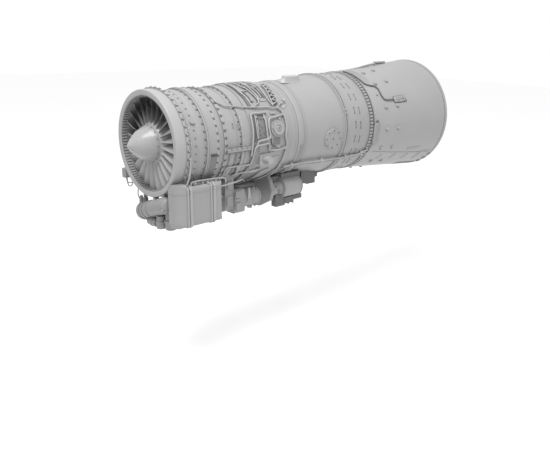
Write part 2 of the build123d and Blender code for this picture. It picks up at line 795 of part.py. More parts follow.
def flap_shape():
    half_step = 180.0 / FLAPS
    half_plate = FLAP_PLATE / 2
    slope = radians(2 * half_step - 0.6)
    low = half_plate + 2.0
    high = low + 3.0
    with BuildPart() as flap:
        for distance in (13.0, FLAP_LENGTH):
            corner, width = flap_section(distance)
            bend = corner + low * tan(radians(half_step))
            reach = corner - width + 14.0
            end = (bend + reach * cos(slope), low - reach * sin(slope))
            with BuildSketch(Plane.XZ.offset(-HINGE_Y - distance)):
                with BuildLine():
                    Polyline(
                        (-width, -half_plate),
                        (width, -half_plate),
                        (width, low),
                        (bend, low),
                        end,
                        (end[0] + 3 * sin(slope), end[1] + 3 * cos(slope)),
                        (bend + 3 * tan(slope / 2), high),
                        (width - 14, high),
                        (width - 14, half_plate),
                        (-width, half_plate),
                        close=True,
                    )
                make_face()
        loft(ruled=True)
        with Locations((0, HINGE_Y + 8, 0)):
            Box(2 * BARREL_HALF, 16, FLAP_PLATE)
        with BuildSketch(Plane.YZ.offset(-BARREL_HALF)):
            with Locations((HINGE_Y, 0)):
                Circle(BARREL_RADIUS)
        extrude(amount=2 * BARREL_HALF)
        with BuildSketch(Plane.YZ.offset(-BARREL_HALF)):
            with Locations((HINGE_Y, 0)):
                Circle(HINGE_PIN_RADIUS + RUNNING_FIT)
        extrude(amount=2 * BARREL_HALF, mode=Mode.SUBTRACT)
        stations = [cam_height(share) for share in (0.0, 0.5, 1.0)]
        with BuildSketch(Plane.YZ.offset(-CAM_WIDTH / 2)):
            with BuildLine():
                first, middle, last = [(HINGE_Y + place, height) for place, height in stations]
                Spline(first, middle, last)
                Polyline(last, (last[0] + 24, half_plate - 1), (first[0] - 12, half_plate - 1), first)
            make_face()
        extrude(amount=CAM_WIDTH)
    lifted = flap.part.translate((0, 0, HINGE_RADIUS))
    hinge = Axis((0, HINGE_Y, HINGE_RADIUS), (1, 0, 0))
    return lifted.rotate(hinge, -degrees(asin(FLAP_OPEN_DROP / FLAP_LENGTH)))


def build_flaps():
    for number, shape in enumerate(around(flap_shape(), FLAPS)):
        with BuildPart() as nozzle_flap:
            add(shape)
        finish(nozzle_flap, "nozzle_flap_%02d" % (number + 1))


def turbine_disc(station, bore, rim):
    """Turbine disc: thick hub, thin web and a broad rim."""
    with BuildPart() as disc:
        with BuildSketch(Plane.XY):
            with BuildLine():
                Polyline(
                    (bore, station - 32),
                    (bore + 24, station - 32),
                    (bore + 50, station - 9),
                    (rim - 16, station - 9),
                    (rim, station - 20),
                    (rim, station + 20),
                    (rim - 16, station + 9),
                    (bore + 50, station + 9),
                    (bore + 24, station + 32),
                    (bore, station + 32),
                    close=True,
                )
            make_face()
        revolve(axis=Axis.Y)
    return disc.part


# Low-pressure rotor: spinner, first stage, drum, shaft and turbine
def fan_blade():
    """Wide twisted blade: the chord turns from near the axis at the root towards it at the tip."""
    stations = ((140.0, 78.0, 17.0, 9.0), (240.0, 95.0, 37.0, 6.0), (INLET_BORE - TIP_GAP, 104.0, 52.0, 3.5))
    with BuildPart() as blade:
        for radius, chord, turn, thickness in stations:
            with BuildSketch(outward(90, radius, FAN_BLADE_Y).rotated((0, 0, turn))):
                with BuildLine():
                    front = Vector(-chord / 2, 0)
                    back = Vector(chord / 2, 0)
                    ThreePointArc(front, Vector(0, 5 + thickness / 2), back)
                    ThreePointArc(back, Vector(0, 5 - thickness / 2), front)
                make_face()
        loft(ruled=True)
        hub = [(FAN_START, SPINNER_RADIUS + SEAT), (FAN_END, FAN_HUB_END + SEAT)]
        add(engine_core(hub), mode=Mode.SUBTRACT)
    return blade.part


def build_low_pressure_rotor():
    with BuildPart() as spinner:
        with BuildSketch(Plane.XY):
            with BuildLine():
                nose = curve_points(
                    (0, SPINNER_TIP),
                    (36, SPINNER_TIP + 10),
                    (SPINNER_RADIUS - 20, -52),
                    (SPINNER_RADIUS, FAN_START),
                    SPINNER_FACETS,
                )
                Polyline(
                    *nose,
                    (SPINNER_RADIUS - 5, FAN_START),
                    (70, -60),
                    (0, SPINNER_TIP + 14),
                    close=True,
                )
            make_face()
        revolve(axis=Axis.Y)
    finish(spinner, "spinner")

    with BuildPart() as fan_rotor:
        with BuildSketch(Plane.XY):
            with BuildLine():
                Polyline(
                    (LOW_JOURNAL + SEAT, FAN_START),
                    (SPINNER_RADIUS, FAN_START),
                    (FAN_HUB_END, FAN_END),
                    (FAN_HUB_END - 10, FAN_END),
                    (150, FAN_START + 40),
                    (LOW_JOURNAL + 30, FAN_START + 30),
                    (LOW_JOURNAL + 30, FAN_END - 20),
                    (LOW_JOURNAL + SEAT, FAN_END - 20),
                    close=True,
                )
            make_face()
        revolve(axis=Axis.Y)
        add(around(fan_blade(), FAN_BLADES))
    finish(fan_rotor, "fan_rotor")

    with BuildPart() as low_pressure_drum:
        with BuildSketch(Plane.XY):
            with BuildLine():
                Polyline(
                    (FAN_HUB_END - 10, FAN_END),
                    (FAN_HUB_END, FAN_END),
                    (228, 200),
                    (256, 312),
                    (246, 312),
                    (238, 290),
                    (LOW_JOURNAL + SEAT, 290),
                    (LOW_JOURNAL + SEAT, 272),
                    (234, 272),
                    (218, 200),
                    close=True,
                )
            make_face()
        revolve(axis=Axis.Y)
        drum = [(FAN_END, FAN_HUB_END), (200, 228), (312, 256)]
        for station, count in ((186, 30), (284, 34)):
            blade = seated_blade(station, 56, 4.5, -36, INLET_BORE - TIP_GAP, drum)
            add(around(blade, count))
    finish(low_pressure_drum, "low_pressure_drum")

    with BuildPart() as low_pressure_shaft:
        with BuildSketch(Plane.XY):
            with BuildLine():
                Polyline(
                    (LOW_SHAFT_BORE, FAN_START - 6),
                    (LOW_JOURNAL, FAN_START - 6),
                    (LOW_JOURNAL, LOW_SHAFT_END),
                    (LOW_SHAFT_BORE, LOW_SHAFT_END),
                    close=True,
                )
            make_face()
        revolve(axis=Axis.Y)
    finish(low_pressure_shaft, "low_pressure_shaft")

    with BuildPart() as low_pressure_turbine:
        add(turbine_disc(LOW_DISC_Y, LOW_JOURNAL + SEAT, DISC_RIM))
        tip = turbine_radius(LOW_DISC_Y - 18) - TURBINE_WALL - TIP_GAP
        add(around(flat_blade(LOW_DISC_Y, 34, 6, 38, DISC_RIM + SEAT, tip), TURBINE_BLADES))
    finish(low_pressure_turbine, "low_pressure_turbine")


# High-pressure rotor: drum, shaft and turbine
def build_high_pressure_rotor():
    with BuildPart() as high_pressure_drum:
        with BuildSketch(Plane.XY):
            with BuildLine():
                Polyline(
                    (HIGH_JOURNAL + SEAT, 428),
                    (HIGH_JOURNAL + 26, 428),
                    (270, 420),
                    (284, 500),
                    (290, 600),
                    (280, 600),
                    (274, 500),
                    (262, 446),
                    (HIGH_JOURNAL + SEAT, 446),
                    close=True,
                )
            make_face()
        revolve(axis=Axis.Y)
        drum = [(420, 270), (500, 284), (600, 290), (612, 290)]
        for station in (450, 520, 588):
            blade = seated_blade(station, 40, 4, -38, HIGH_BORE - TIP_GAP, drum)
            add(around(blade, 36))
    finish(high_pressure_drum, "high_pressure_drum")

    with BuildPart() as high_pressure_shaft:
        with BuildSketch(Plane.XY):
            with BuildLine():
                Polyline(
                    (HIGH_SHAFT_BORE, HIGH_SHAFT_START),
                    (HIGH_JOURNAL, HIGH_SHAFT_START),
                    (HIGH_JOURNAL, HIGH_SHAFT_END),
                    (HIGH_SHAFT_BORE, HIGH_SHAFT_END),
                    close=True,
                )
            make_face()
        revolve(axis=Axis.Y)
    finish(high_pressure_shaft, "high_pressure_shaft")

    with BuildPart() as high_pressure_turbine:
        add(turbine_disc(HIGH_DISC_Y, HIGH_JOURNAL + SEAT, DISC_RIM))
        tip = turbine_radius(HIGH_DISC_Y - 18) - TURBINE_WALL - TIP_GAP
        add(around(flat_blade(HIGH_DISC_Y, 34, 6, 38, DISC_RIM + SEAT, tip), TURBINE_BLADES))
    finish(high_pressure_turbine, "high_pressure_turbine")


# Oil tank: a saddle-backed box on the lower flank, its two straps and its filler cap
def tank_outline(grow, mode=Mode.ADD):
    """Outline of the tank seen from the front, grown all round by one amount."""
    middle = ((TANK_INNER_X + TANK_OUTER_X) / 2, (TANK_TOP + TANK_BOTTOM) / 2)
    wide = TANK_OUTER_X - TANK_INNER_X + 2 * grow
    tall = TANK_TOP - TANK_BOTTOM + 2 * grow
    with Locations(middle):
        RectangleRounded(wide, tall, TANK_ROUND + grow, mode=mode)


def build_tank():
    saddle = FRONT_FLANGE_RADIUS + SEAT
    with BuildPart() as oil_tank:
        with BuildSketch(Plane.XZ.offset(-TANK_START)):
            tank_outline(0)
        extrude(amount=TANK_START - TANK_END)
        with BuildSketch(Plane.XZ.offset(-TANK_START)):
            with Locations(((TANK_INNER_X + TANK_OUTER_X) / 2, TANK_TOP - 20 + TANK_LOBE_RISE / 2)):
                RectangleRounded(TANK_OUTER_X - TANK_INNER_X, 40 + TANK_LOBE_RISE, 18)
        extrude(amount=TANK_START - TANK_LOBE_END)
        add(engine_core([(TANK_START - 1, saddle), (TANK_END + 1, saddle)]), mode=Mode.SUBTRACT)
        with BuildSketch(Plane.XY.offset(TANK_BOTTOM - 1)):
            with BuildLine():
                Polyline(
                    (TANK_OUTER_X - TANK_REAR_ROUND, TANK_END),
                    (TANK_INNER_X, TANK_END),
                    (TANK_INNER_X, TANK_START),
                    (TANK_OUTER_X - TANK_FRONT_ROUND, TANK_START),
                )
                RadiusArc(
                    (TANK_OUTER_X - TANK_FRONT_ROUND, TANK_START),
                    (TANK_OUTER_X, TANK_START + TANK_FRONT_ROUND),
                    -TANK_FRONT_ROUND,
                )
                Line((TANK_OUTER_X, TANK_START + TANK_FRONT_ROUND), (TANK_OUTER_X, TANK_END - TANK_REAR_ROUND))
                RadiusArc(
                    (TANK_OUTER_X, TANK_END - TANK_REAR_ROUND),
                    (TANK_OUTER_X - TANK_REAR_ROUND, TANK_END),
                    -TANK_REAR_ROUND,
                )
            make_face()
        extrude(amount=TANK_TOP + TANK_LOBE_RISE - TANK_BOTTOM + 2, mode=Mode.INTERSECT)
        with Locations((CAP_X, CAP_Y + 24, TANK_TOP - 4)):
            Box(58, 132, 8, mode=Mode.SUBTRACT)
        with Locations((CAP_X, CAP_Y, TANK_TOP - 4)):
            Cylinder(CAP_RADIUS - 4, 16)
    finish(oil_tank, "oil_tank")

    with BuildPart() as tank_straps:
        for station in STRAPS:
            with BuildSketch(Plane.XZ.offset(-station)):
                tank_outline(SEAT + STRAP_THICKNESS)
                tank_outline(SEAT, Mode.SUBTRACT)
                Circle(saddle, mode=Mode.SUBTRACT)
            extrude(amount=-STRAP_WIDTH)
    finish(tank_straps, "tank_straps")

    with BuildPart() as filler_cap:
        with BuildSketch(Plane.XY.offset(TANK_TOP + 4.0)):
            with Locations((CAP_X, CAP_Y)):
                Circle(CAP_RADIUS)
        extrude(amount=9)
        with Locations((CAP_X, CAP_Y, TANK_TOP + 4.0 + 13)):
            Box(36, 8, 8)
    finish(filler_cap, "filler_cap")


# Oil cooler: a lying can with a domed end, hung from the inlet ring by two saddles
def build_oil_cooler():
    run = (cos(radians(COOLER_TILT)), 0, sin(radians(COOLER_TILT)))
    along = Plane(origin=(COOLER_X, COOLER_Y, COOLER_Z), x_dir=run, z_dir=(0, -1, 0))
    with BuildPart() as oil_cooler:
        add(rounded_can(along, -COOLER_HALF, COOLER_HALF, COOLER_RADIUS, COOLER_RADIUS * 0.75))
        for collar in (26 - COOLER_HALF, 66 - COOLER_HALF):
            with BuildSketch(Plane(origin=along.from_local_coords((collar, 0, 0)), z_dir=run)):
                Circle(COOLER_RADIUS + 5)
            extrude(amount=12)
        for place in (20, 140):
            with BuildSketch(along):
                with Locations((place, COOLER_RADIUS + 14)):
                    Rectangle(26, 60)
            extrude(amount=17, both=True)
        add(engine_core([(0, LIP_RADIUS + SEAT), (INLET_LENGTH, LIP_RADIUS + SEAT)]), mode=Mode.SUBTRACT)
    finish(oil_cooler, "oil_cooler")


# Gearbox under the casings, with the pumps and the starter-generator on its faces
def build_gearbox():
    with BuildPart() as gearbox:
        with BuildSketch(Plane.XZ.offset(-GEARBOX_START)):
            with BuildLine():
                Polyline(
                    (-210, -290),
                    (-240, -440),
                    (-150, GEARBOX_BOTTOM),
                    (180, GEARBOX_BOTTOM),
                    (270, -520),
                    (270, -250),
                    close=True,
                )
            make_face()
            Circle(HIGH_CASE_RADIUS + SEAT, mode=Mode.SUBTRACT)
        extrude(amount=GEARBOX_START - GEARBOX_END)
        with BuildSketch(Plane.XZ.offset(-GEARBOX_END)):
            with Locations((-30, -466)):
                RectangleRounded(200, 130, 24)
        extrude(amount=GEARBOX_END - REAR_PAD_START)
        with BuildSketch(Plane.XZ.offset(-REAR_PAD_START)):
            with BuildLine():
                Polyline(
                    (-120, -350),
                    (-140, -500),
                    (-40, -600),
                    (120, -600),
                    (250, -530),
                    (276, -452),
                    (250, -370),
                    (200, -310),
                    close=True,
                )
            make_face()
            Circle(BURNER_CASE_RADIUS + SEAT, mode=Mode.SUBTRACT)
        extrude(amount=REAR_PAD_START - REAR_PAD_END)
    finish(gearbox, "gearbox")

    with BuildPart() as fuel_pump:
        with BuildSketch(Plane.XZ.offset(-GEARBOX_END)):
            with Locations((PUMP_X, PUMP_Z)):
                RectangleRounded(PUMP_BLOCK, PUMP_BLOCK + 30, 24)
        extrude(amount=-PUMP_BLOCK_LENGTH)
        with BuildSketch(Plane.XZ.offset(-GEARBOX_END - PUMP_BLOCK_LENGTH)):
            with Locations((PUMP_X, PUMP_Z)):
                Circle(PUMP_RADIUS)
        extrude(amount=GEARBOX_END + PUMP_BLOCK_LENGTH - PUMP_END)
        chamfer(fuel_pump.faces().sort_by(Axis.Y)[-1].edges(), 14)
        with BuildSketch(Plane.YZ.offset(PUMP_X + PUMP_RADIUS - 6)):
            with Locations((LEVER_Y, PUMP_Z)):
                Circle(LEVER_PIN_RADIUS + 9)
        extrude(amount=10)
        with BuildSketch(Plane.YZ.offset(PUMP_X + PUMP_RADIUS)):
            with Locations((LEVER_Y, PUMP_Z)):
                Circle(LEVER_PIN_RADIUS)
        extrude(amount=20)
    finish(fuel_pump, "fuel_pump")

    with BuildPart() as throttle_lever:
        with BuildSketch(Plane.YZ.offset(PUMP_X + PUMP_RADIUS + 5)):
            with BuildLine():
                Polyline(
                    (LEVER_Y - 12, PUMP_Z),
                    (LEVER_Y - 8, PUMP_Z + LEVER_LENGTH),
                    (LEVER_Y + 8, PUMP_Z + LEVER_LENGTH),
                    (LEVER_Y + 12, PUMP_Z),
                    close=True,
                )
            make_face()
            with Locations((LEVER_Y, PUMP_Z)):
                Circle(15)
            with Locations((LEVER_Y, PUMP_Z + LEVER_LENGTH)):
                Circle(9)
            with Locations((LEVER_Y, PUMP_Z)):
                Circle(LEVER_PIN_RADIUS + RUNNING_FIT, mode=Mode.SUBTRACT)
            with Locations((LEVER_Y, PUMP_Z + LEVER_LENGTH)):
                Circle(4, mode=Mode.SUBTRACT)
        extrude(amount=8)
    finish(throttle_lever, "throttle_lever")

    with BuildPart() as starter_generator:
        along = Plane(origin=(STARTER_X, 0, STARTER_Z), x_dir=(0, 1, 0), z_dir=(1, 0, 0))
        add(rounded_can(along, STARTER_DRUM, STARTER_END, STARTER_RADIUS, 34))
        collars = ((REAR_PAD_END, STARTER_DRUM, 0), (REAR_PAD_END, REAR_PAD_END + 14, 13), (1030, 1044, 10), (1078, 1088, 12))
        for start, end, rise in collars:
            with BuildSketch(Plane.XZ.offset(-start)):
                with Locations((STARTER_X, STARTER_Z)):
                    Circle(STARTER_NECK + rise)
            extrude(amount=start - end)
    finish(starter_generator, "starter_generator")

    with BuildPart() as afterburner_pump:
        start = REAR_PAD_END
        for radius, length in ((44, 70), (36, 60), (46, 26), (34, 50)):
            with BuildSketch(Plane.XZ.offset(-start)):
                with Locations((BOOST_X, BOOST_Z)):
                    Circle(radius)
            extrude(amount=-length)
            start = start + length
        with BuildSketch(Plane.XZ.offset(-start)):
            with Locations((BOOST_X, BOOST_Z)):
                Circle(34)
        extrude(amount=-64, taper=24)
    finish(afterburner_pump, "afterburner_pump")

    with BuildPart() as fuel_filter:
        along = Plane(origin=(FILTER_X, 0, FILTER_Z), x_dir=(0, 1, 0), z_dir=(1, 0, 0))
        add(rounded_can(along, GEARBOX_START, FILTER_START, FILTER_RADIUS, 24))
    finish(fuel_filter, "fuel_filter")


# Afterburner fuel controls: two cast blocks and a ribbed valve on a saddle under the turbine casing
def build_fuel_controls():
    with BuildPart() as fuel_controls:
        for start, end, west, east, bottom in CONTROL_BLOCKS:
            with Locations(((west + east) / 2, (start + end) / 2, (bottom - 340) / 2)):
                Box(east - west, end - start, -340 - bottom)
        with BuildSketch(Plane.YZ.offset(CONTROL_WEST + 20)):
            with BuildLine():
                Polyline(
                    (1536, -380),
                    (1530, -478),
                    (1552, -512),
                    (1572, -504),
                    (1560, -484),
                    (1576, -462),
                    (1614, -454),
                    (1618, -380),
                    close=True,
                )
            make_face()
        extrude(amount=60)
        ends = (CONTROL_START - 40, 1640)
        add(engine_core([(end, turbine_radius(end) + SEAT) for end in ends]), mode=Mode.SUBTRACT)
    finish(fuel_controls, "fuel_controls")


# Fittings on the casings: trunnions, hoist fin, bleed valve, port cover, shroud bracket and rail
def build_fittings():
    with BuildPart() as trunnions:
        for side in (-1, 1):
            with BuildSketch(Plane.YZ.offset(side * 330)):
                with Locations((TRUNNION_Y, TRUNNION_Z)):
                    RectangleRounded(104, 84, 14)
            extrude(amount=side * 54)
            with BuildSketch(Plane.YZ.offset(side * 350)):
                with Locations((TRUNNION_Y, TRUNNION_Z)):
                    Circle(TRUNNION_RADIUS)
            extrude(amount=side * (TRUNNION_REACH - 350))
        core = [(TRUNNION_Y - 90, BURNER_CASE_RADIUS + SEAT), (TRUNNION_Y + 90, BURNER_CASE_RADIUS + SEAT)]
        add(engine_core(core), mode=Mode.SUBTRACT)
    finish(trunnions, "trunnions")

    with BuildPart() as hoist_fin:
        with BuildSketch(Plane.YZ.offset(-FIN_THICKNESS / 2)):
            with BuildLine():
                Polyline(
                    (FIN_START, turbine_radius(FIN_START) + SEAT),
                    (FIN_START + 34, FIN_TOP),
                    (FIN_END - 46, FIN_TOP),
                    (FIN_END, turbine_radius(FIN_END) + SEAT),
                    close=True,
                )
            make_face()
            with Locations(((FIN_START + FIN_END) / 2, FIN_TOP - 22)):
                Circle(FIN_HOLE, mode=Mode.SUBTRACT)
        extrude(amount=FIN_THICKNESS)
    with BuildPart() as hoist_lug:
        add(hoist_fin.part.rotate(Axis.Y, FIN_TURN))
    finish(hoist_lug, "hoist_lug")

    with BuildPart() as bleed_valve:
        seat = BURNER_CASE_RADIUS - 12
        with BuildSketch(outward(VALVE_ANGLE, seat, VALVE_Y)):
            Circle(VALVE_RADIUS)
        extrude(amount=26)
        with BuildSketch(outward(VALVE_ANGLE, seat + 26, VALVE_Y)):
            Circle(VALVE_RADIUS - 15)
        extrude(amount=14)
        with BuildSketch(outward(VALVE_ANGLE, seat + 28, VALVE_Y)):
            Circle(VALVE_RADIUS - 40)
        extrude(amount=14, mode=Mode.SUBTRACT)
        core = [(VALVE_Y - 90, BURNER_CASE_RADIUS + SEAT), (VALVE_Y + 90, BURNER_CASE_RADIUS + SEAT)]
        add(engine_core(core), mode=Mode.SUBTRACT)
    finish(bleed_valve, "bleed_valve")

    with BuildPart() as port_cover:
        seat = turbine_radius(COVER_Y) - 20
        with BuildSketch(outward(COVER_ANGLE, seat, COVER_Y)):
            RegularPolygon(COVER_RADIUS - 4, 8, rotation=22.5)
            with PolarLocations(COVER_RADIUS - 12, 8):
                Circle(15)
        extrude(amount=28)
        with BuildSketch(outward(COVER_ANGLE, seat + 28, COVER_Y)):
            Circle(COVER_RADIUS - 34)
        extrude(amount=5)
        ends = (COVER_Y - 110, COVER_Y + 110)
        add(engine_core([(end, turbine_radius(end) + SEAT) for end in ends]), mode=Mode.SUBTRACT)
    finish(port_cover, "port_cover")

    with BuildPart() as jack_bracket:
        seat = shroud_radius(BRACKET_Y) - 12
        with BuildSketch(outward(BRACKET_ANGLE, seat, BRACKET_Y)):
            RectangleRounded(96, 60, 10)
        extrude(amount=30)
        with BuildSketch(outward(BRACKET_ANGLE, seat + 30, BRACKET_Y)):
            with Locations((-14, 0), (26, 0)):
                RectangleRounded(26, 44, 6)
        extrude(amount=16)
        ends = (BRACKET_Y - 80, BRACKET_Y + 80)
        add(engine_core([(end, shroud_radius(end) + SEAT) for end in ends]), mode=Mode.SUBTRACT)
    finish(jack_bracket, "jack_bracket")

    with BuildPart() as top_rail:
        upper = (RAIL_START + 80, RAIL_END - 20)
        lower = (RAIL_START + 92, RAIL_END - 40)
        with BuildSketch(Plane.YZ.offset(-RAIL_WIDTH / 2)):
            with BuildLine():
                Polyline(
                    (RAIL_START, shroud_radius(RAIL_START) + SEAT),
                    (upper[0], shroud_radius(upper[0]) + RAIL_RISE),
                    (upper[1], shroud_radius(upper[1]) + RAIL_RISE - 6),
                    (RAIL_END, shroud_radius(RAIL_END) + SEAT),
                    (lower[1], shroud_radius(lower[1]) + SEAT),
                    (lower[1], shroud_radius(lower[1]) + RAIL_RISE - 16),
                    (lower[0], shroud_radius(lower[0]) + RAIL_RISE - 10),
                    (lower[0] - 46, shroud_radius(lower[0] - 46) + SEAT),
                    close=True,
                )
            make_face()
        extrude(amount=RAIL_WIDTH)
    finish(top_rail, "top_rail")


# Pipes held on the casings by feet
def pipe_point(station, angle, radius):
    return (radius * cos(radians(angle)), station, radius * sin(radians(angle)))


def bent_pipe(points, bend, radius):
    """Tube swept along straight runs joined by bends; points are (station, angle, radius)."""
    places = [pipe_point(*point) for point in points]
    with BuildPart() as pipe:
        with BuildLine() as route:
            FilletPolyline(*places, radius=bend)
        with BuildSketch(Plane(origin=route.line @ 0, z_dir=route.line % 0)):
            Circle(radius)
        sweep()
    return pipe.part


def pipe_foot(station, angle, wall, centre, radius):
    """Round foot from a pipe down to the casing that carries it."""
    with BuildPart() as foot:
        with BuildSketch(outward(angle, wall + SEAT, station)):
            Circle(radius)
        extrude(amount=centre - wall - SEAT)
    return foot.part


def build_pipes():
    with BuildPart() as bleed_pipe:
        clear = REAR_FLANGE_RADIUS + BLEED_PIPE_RADIUS + 4
        route = [
            (1010, -38, 409),
            (1190, -36.5, 411),
            (1340, -35, clear - 18),
            (1600, -34, clear),
            (1850, -33, clear + 4),
            (1950, -28, clear + 6),
        ]
        add(bent_pipe(route, 60, BLEED_PIPE_RADIUS))
        add(pipe_foot(1026, -37.9, BURNER_CASE_RADIUS, 409, 8))
        add(pipe_foot(1760, -33.4, DIFFUSER_END_RADIUS, clear, 8))
    finish(bleed_pipe, "bleed_pipe")

    with BuildPart() as jack_pipe:
        end = BRACKET_Y - 48
        high = shroud_radius(end) + JACK_PIPE_RADIUS + 4
        low = high - 12
        route = [(2036, 51, low), (2142, 47, high), (2172, BRACKET_ANGLE, high), (end, BRACKET_ANGLE, high)]
        add(bent_pipe(route, 36, JACK_PIPE_RADIUS))
        add(pipe_foot(2050, 50.45, shroud_radius(2056), low, 6))
    finish(jack_pipe, "jack_pipe")


build_inlet_ring()
build_low_pressure_case()
build_mid_frame()
build_high_pressure_cases()
build_combustion()
build_stator_vanes()
build_turbine_case()
build_afterburner()
build_shroud()
build_nozzle_drive()
build_flaps()
build_low_pressure_rotor()
build_high_pressure_rotor()
build_tank()
build_oil_cooler()
build_gearbox()
build_fuel_controls()
build_fittings()
build_pipes()
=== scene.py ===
import math

import bmesh
import bpy
from mathutils import Matrix, Vector


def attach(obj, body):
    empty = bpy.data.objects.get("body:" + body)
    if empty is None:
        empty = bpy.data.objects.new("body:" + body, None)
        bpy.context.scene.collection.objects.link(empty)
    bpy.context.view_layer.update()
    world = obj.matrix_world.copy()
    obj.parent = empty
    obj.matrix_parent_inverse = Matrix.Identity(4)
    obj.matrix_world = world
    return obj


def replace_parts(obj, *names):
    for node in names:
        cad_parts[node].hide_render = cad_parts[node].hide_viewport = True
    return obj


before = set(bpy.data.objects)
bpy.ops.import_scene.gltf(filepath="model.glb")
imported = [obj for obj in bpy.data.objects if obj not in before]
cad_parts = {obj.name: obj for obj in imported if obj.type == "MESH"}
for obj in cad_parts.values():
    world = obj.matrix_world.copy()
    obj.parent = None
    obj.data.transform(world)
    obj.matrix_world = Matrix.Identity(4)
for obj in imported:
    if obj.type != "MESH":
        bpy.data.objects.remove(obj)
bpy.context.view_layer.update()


# The studio: a pale floor well below the engine, a white surround, one broad soft light above the
# front and one at the side, and the camera at the photograph's angle. Everything here is in metres.
FLOOR_LEVEL = -1.93
FLOOR_HALF = 30.0
FLOOR_TONE = (0.97, 0.97, 0.97, 1.0)
IMAGE_WIDTH, IMAGE_HEIGHT = 550, 450
EYE = Vector((3.956, -2.320, 0.827))
LOOK = Vector((-0.6519, 0.7127, -0.2590))
EYE_ROLL = math.radians(1.61)
FOCAL_PIXELS = 632.8
CENTRE_PIXEL = (336.9, 197.3)
SENSOR_WIDTH = 36.0
ENGINE_MIDDLE = Vector((0.0, 1.4, 0.0))


def placed(name, data):
    """New object in the scene."""
    made = bpy.data.objects.new(name, data)
    bpy.context.scene.collection.objects.link(made)
    return made


def white_surround():
    world = bpy.data.worlds.new("studio_sky")
    world.use_nodes = True
    background = world.node_tree.nodes["Background"]
    background.inputs["Color"].default_value = (1.0, 1.0, 1.0, 1.0)
    background.inputs["Strength"].default_value = 1.0
    bpy.context.scene.world = world


def soft_light(name, spot, size, power):
    lamp = bpy.data.lights.new(name, "AREA")
    lamp.shape = "RECTANGLE"
    lamp.size, lamp.size_y = size
    lamp.energy = power
    holder = placed(name, lamp)
    holder.location = spot
    holder.rotation_mode = "QUATERNION"
    holder.rotation_quaternion = (ENGINE_MIDDLE - Vector(spot)).to_track_quat("-Z", "Y")


def studio_camera():
    data = bpy.data.cameras.new("studio_camera")
    data.sensor_width = SENSOR_WIDTH
    data.lens = FOCAL_PIXELS / IMAGE_WIDTH * SENSOR_WIDTH
    data.shift_x = (IMAGE_WIDTH / 2 - CENTRE_PIXEL[0]) / IMAGE_WIDTH
    data.shift_y = (CENTRE_PIXEL[1] - IMAGE_HEIGHT / 2) / IMAGE_WIDTH
    data.clip_start, data.clip_end = 0.05, 200.0
    right = LOOK.cross(Vector((0, 0, 1))).normalized()
    up = right.cross(LOOK)
    side = right * math.cos(EYE_ROLL) + up * math.sin(EYE_ROLL)
    head = up * math.cos(EYE_ROLL) - right * math.sin(EYE_ROLL)
    camera = placed("studio_camera", data)
    axes = Matrix((side, head, -LOOK)).transposed().to_4x4()
    camera.matrix_world = Matrix.Translation(EYE) @ axes
    bpy.context.scene.camera = camera


def studio_floor():
    mesh = bpy.data.meshes.new("studio_floor")
    square = ((-1, -1), (1, -1), (1, 1), (-1, 1))
    mesh.from_pydata([(x * FLOOR_HALF, y * FLOOR_HALF, FLOOR_LEVEL) for x, y in square], [], [(0, 1, 2, 3)])
    paper = bpy.data.materials.new("studio_floor")
    paper.use_nodes = True
    shader = paper.node_tree.nodes["Principled BSDF"]
    shader.inputs["Base Color"].default_value = FLOOR_TONE
    shader.inputs["Roughness"].default_value = 0.9
    mesh.materials.append(paper)
    placed("studio_floor", mesh)


studio_camera()
studio_floor()
white_surround()
soft_light("top_light", (1.5, -1.0, 5.0), (3.0, 3.0), 430.0)
soft_light("side_light", (5.5, 0.5, 2.5), (2.0, 3.0), 60.0)
bpy.context.scene.view_settings.view_transform = "Standard"


# Inlet ring. One machined alloy ring with a rounded lip, bolted to the first compressor casing;
# short stiffening ribs stand all round its bore, just ahead of the first blades. From here on the
# pieces' sizes are written in millimetres and angles in degrees; meshes are scaled to metres.
MM = 0.001
CLOUD_SCALE, SPECK_SCALE, LATHE_SCALE = 4.0, 90.0, 350.0
SATIN_SHINE = 0.3


class Wire:
    """A material socket used as a value: arithmetic on it adds Math nodes."""

    def __init__(self, finish, socket):
        self.finish = finish
        self.socket = socket

    def maths(self, operation, *values):
        return self.finish.node("ShaderNodeMath", {"operation": operation}, dict(enumerate(values)))

    def __add__(self, other):
        return self.maths("ADD", self, other)

    def __sub__(self, other):
        return self.maths("SUBTRACT", self, other)

    def __mul__(self, other):
        return self.maths("MULTIPLY", self, other)


class Finish:
    """One material on the principled shader, built from nodes, and the slot it usually fills."""

    def __init__(self, name, slot):
        self.slot = slot
        self.material = bpy.data.materials.new(name)
        self.material.use_nodes = True
        self.tree = self.material.node_tree
        self.shader = self.tree.nodes["Principled BSDF"]

    def node(self, kind, settings, values, output=0):
        made = self.tree.nodes.new(kind)
        for name, value in settings.items():
            setattr(made, name, value)
        for name, value in values.items():
            self.feed(made.inputs[name], value)
        return Wire(self, made.outputs[output])

    def feed(self, socket, value):
        if isinstance(value, Wire):
            self.tree.links.new(value.socket, socket)
        else:
            socket.default_value = value

    def noise(self, where, scale, detail):
        return self.node("ShaderNodeTexNoise", {}, {"Vector": where, "Scale": scale, "Detail": detail})


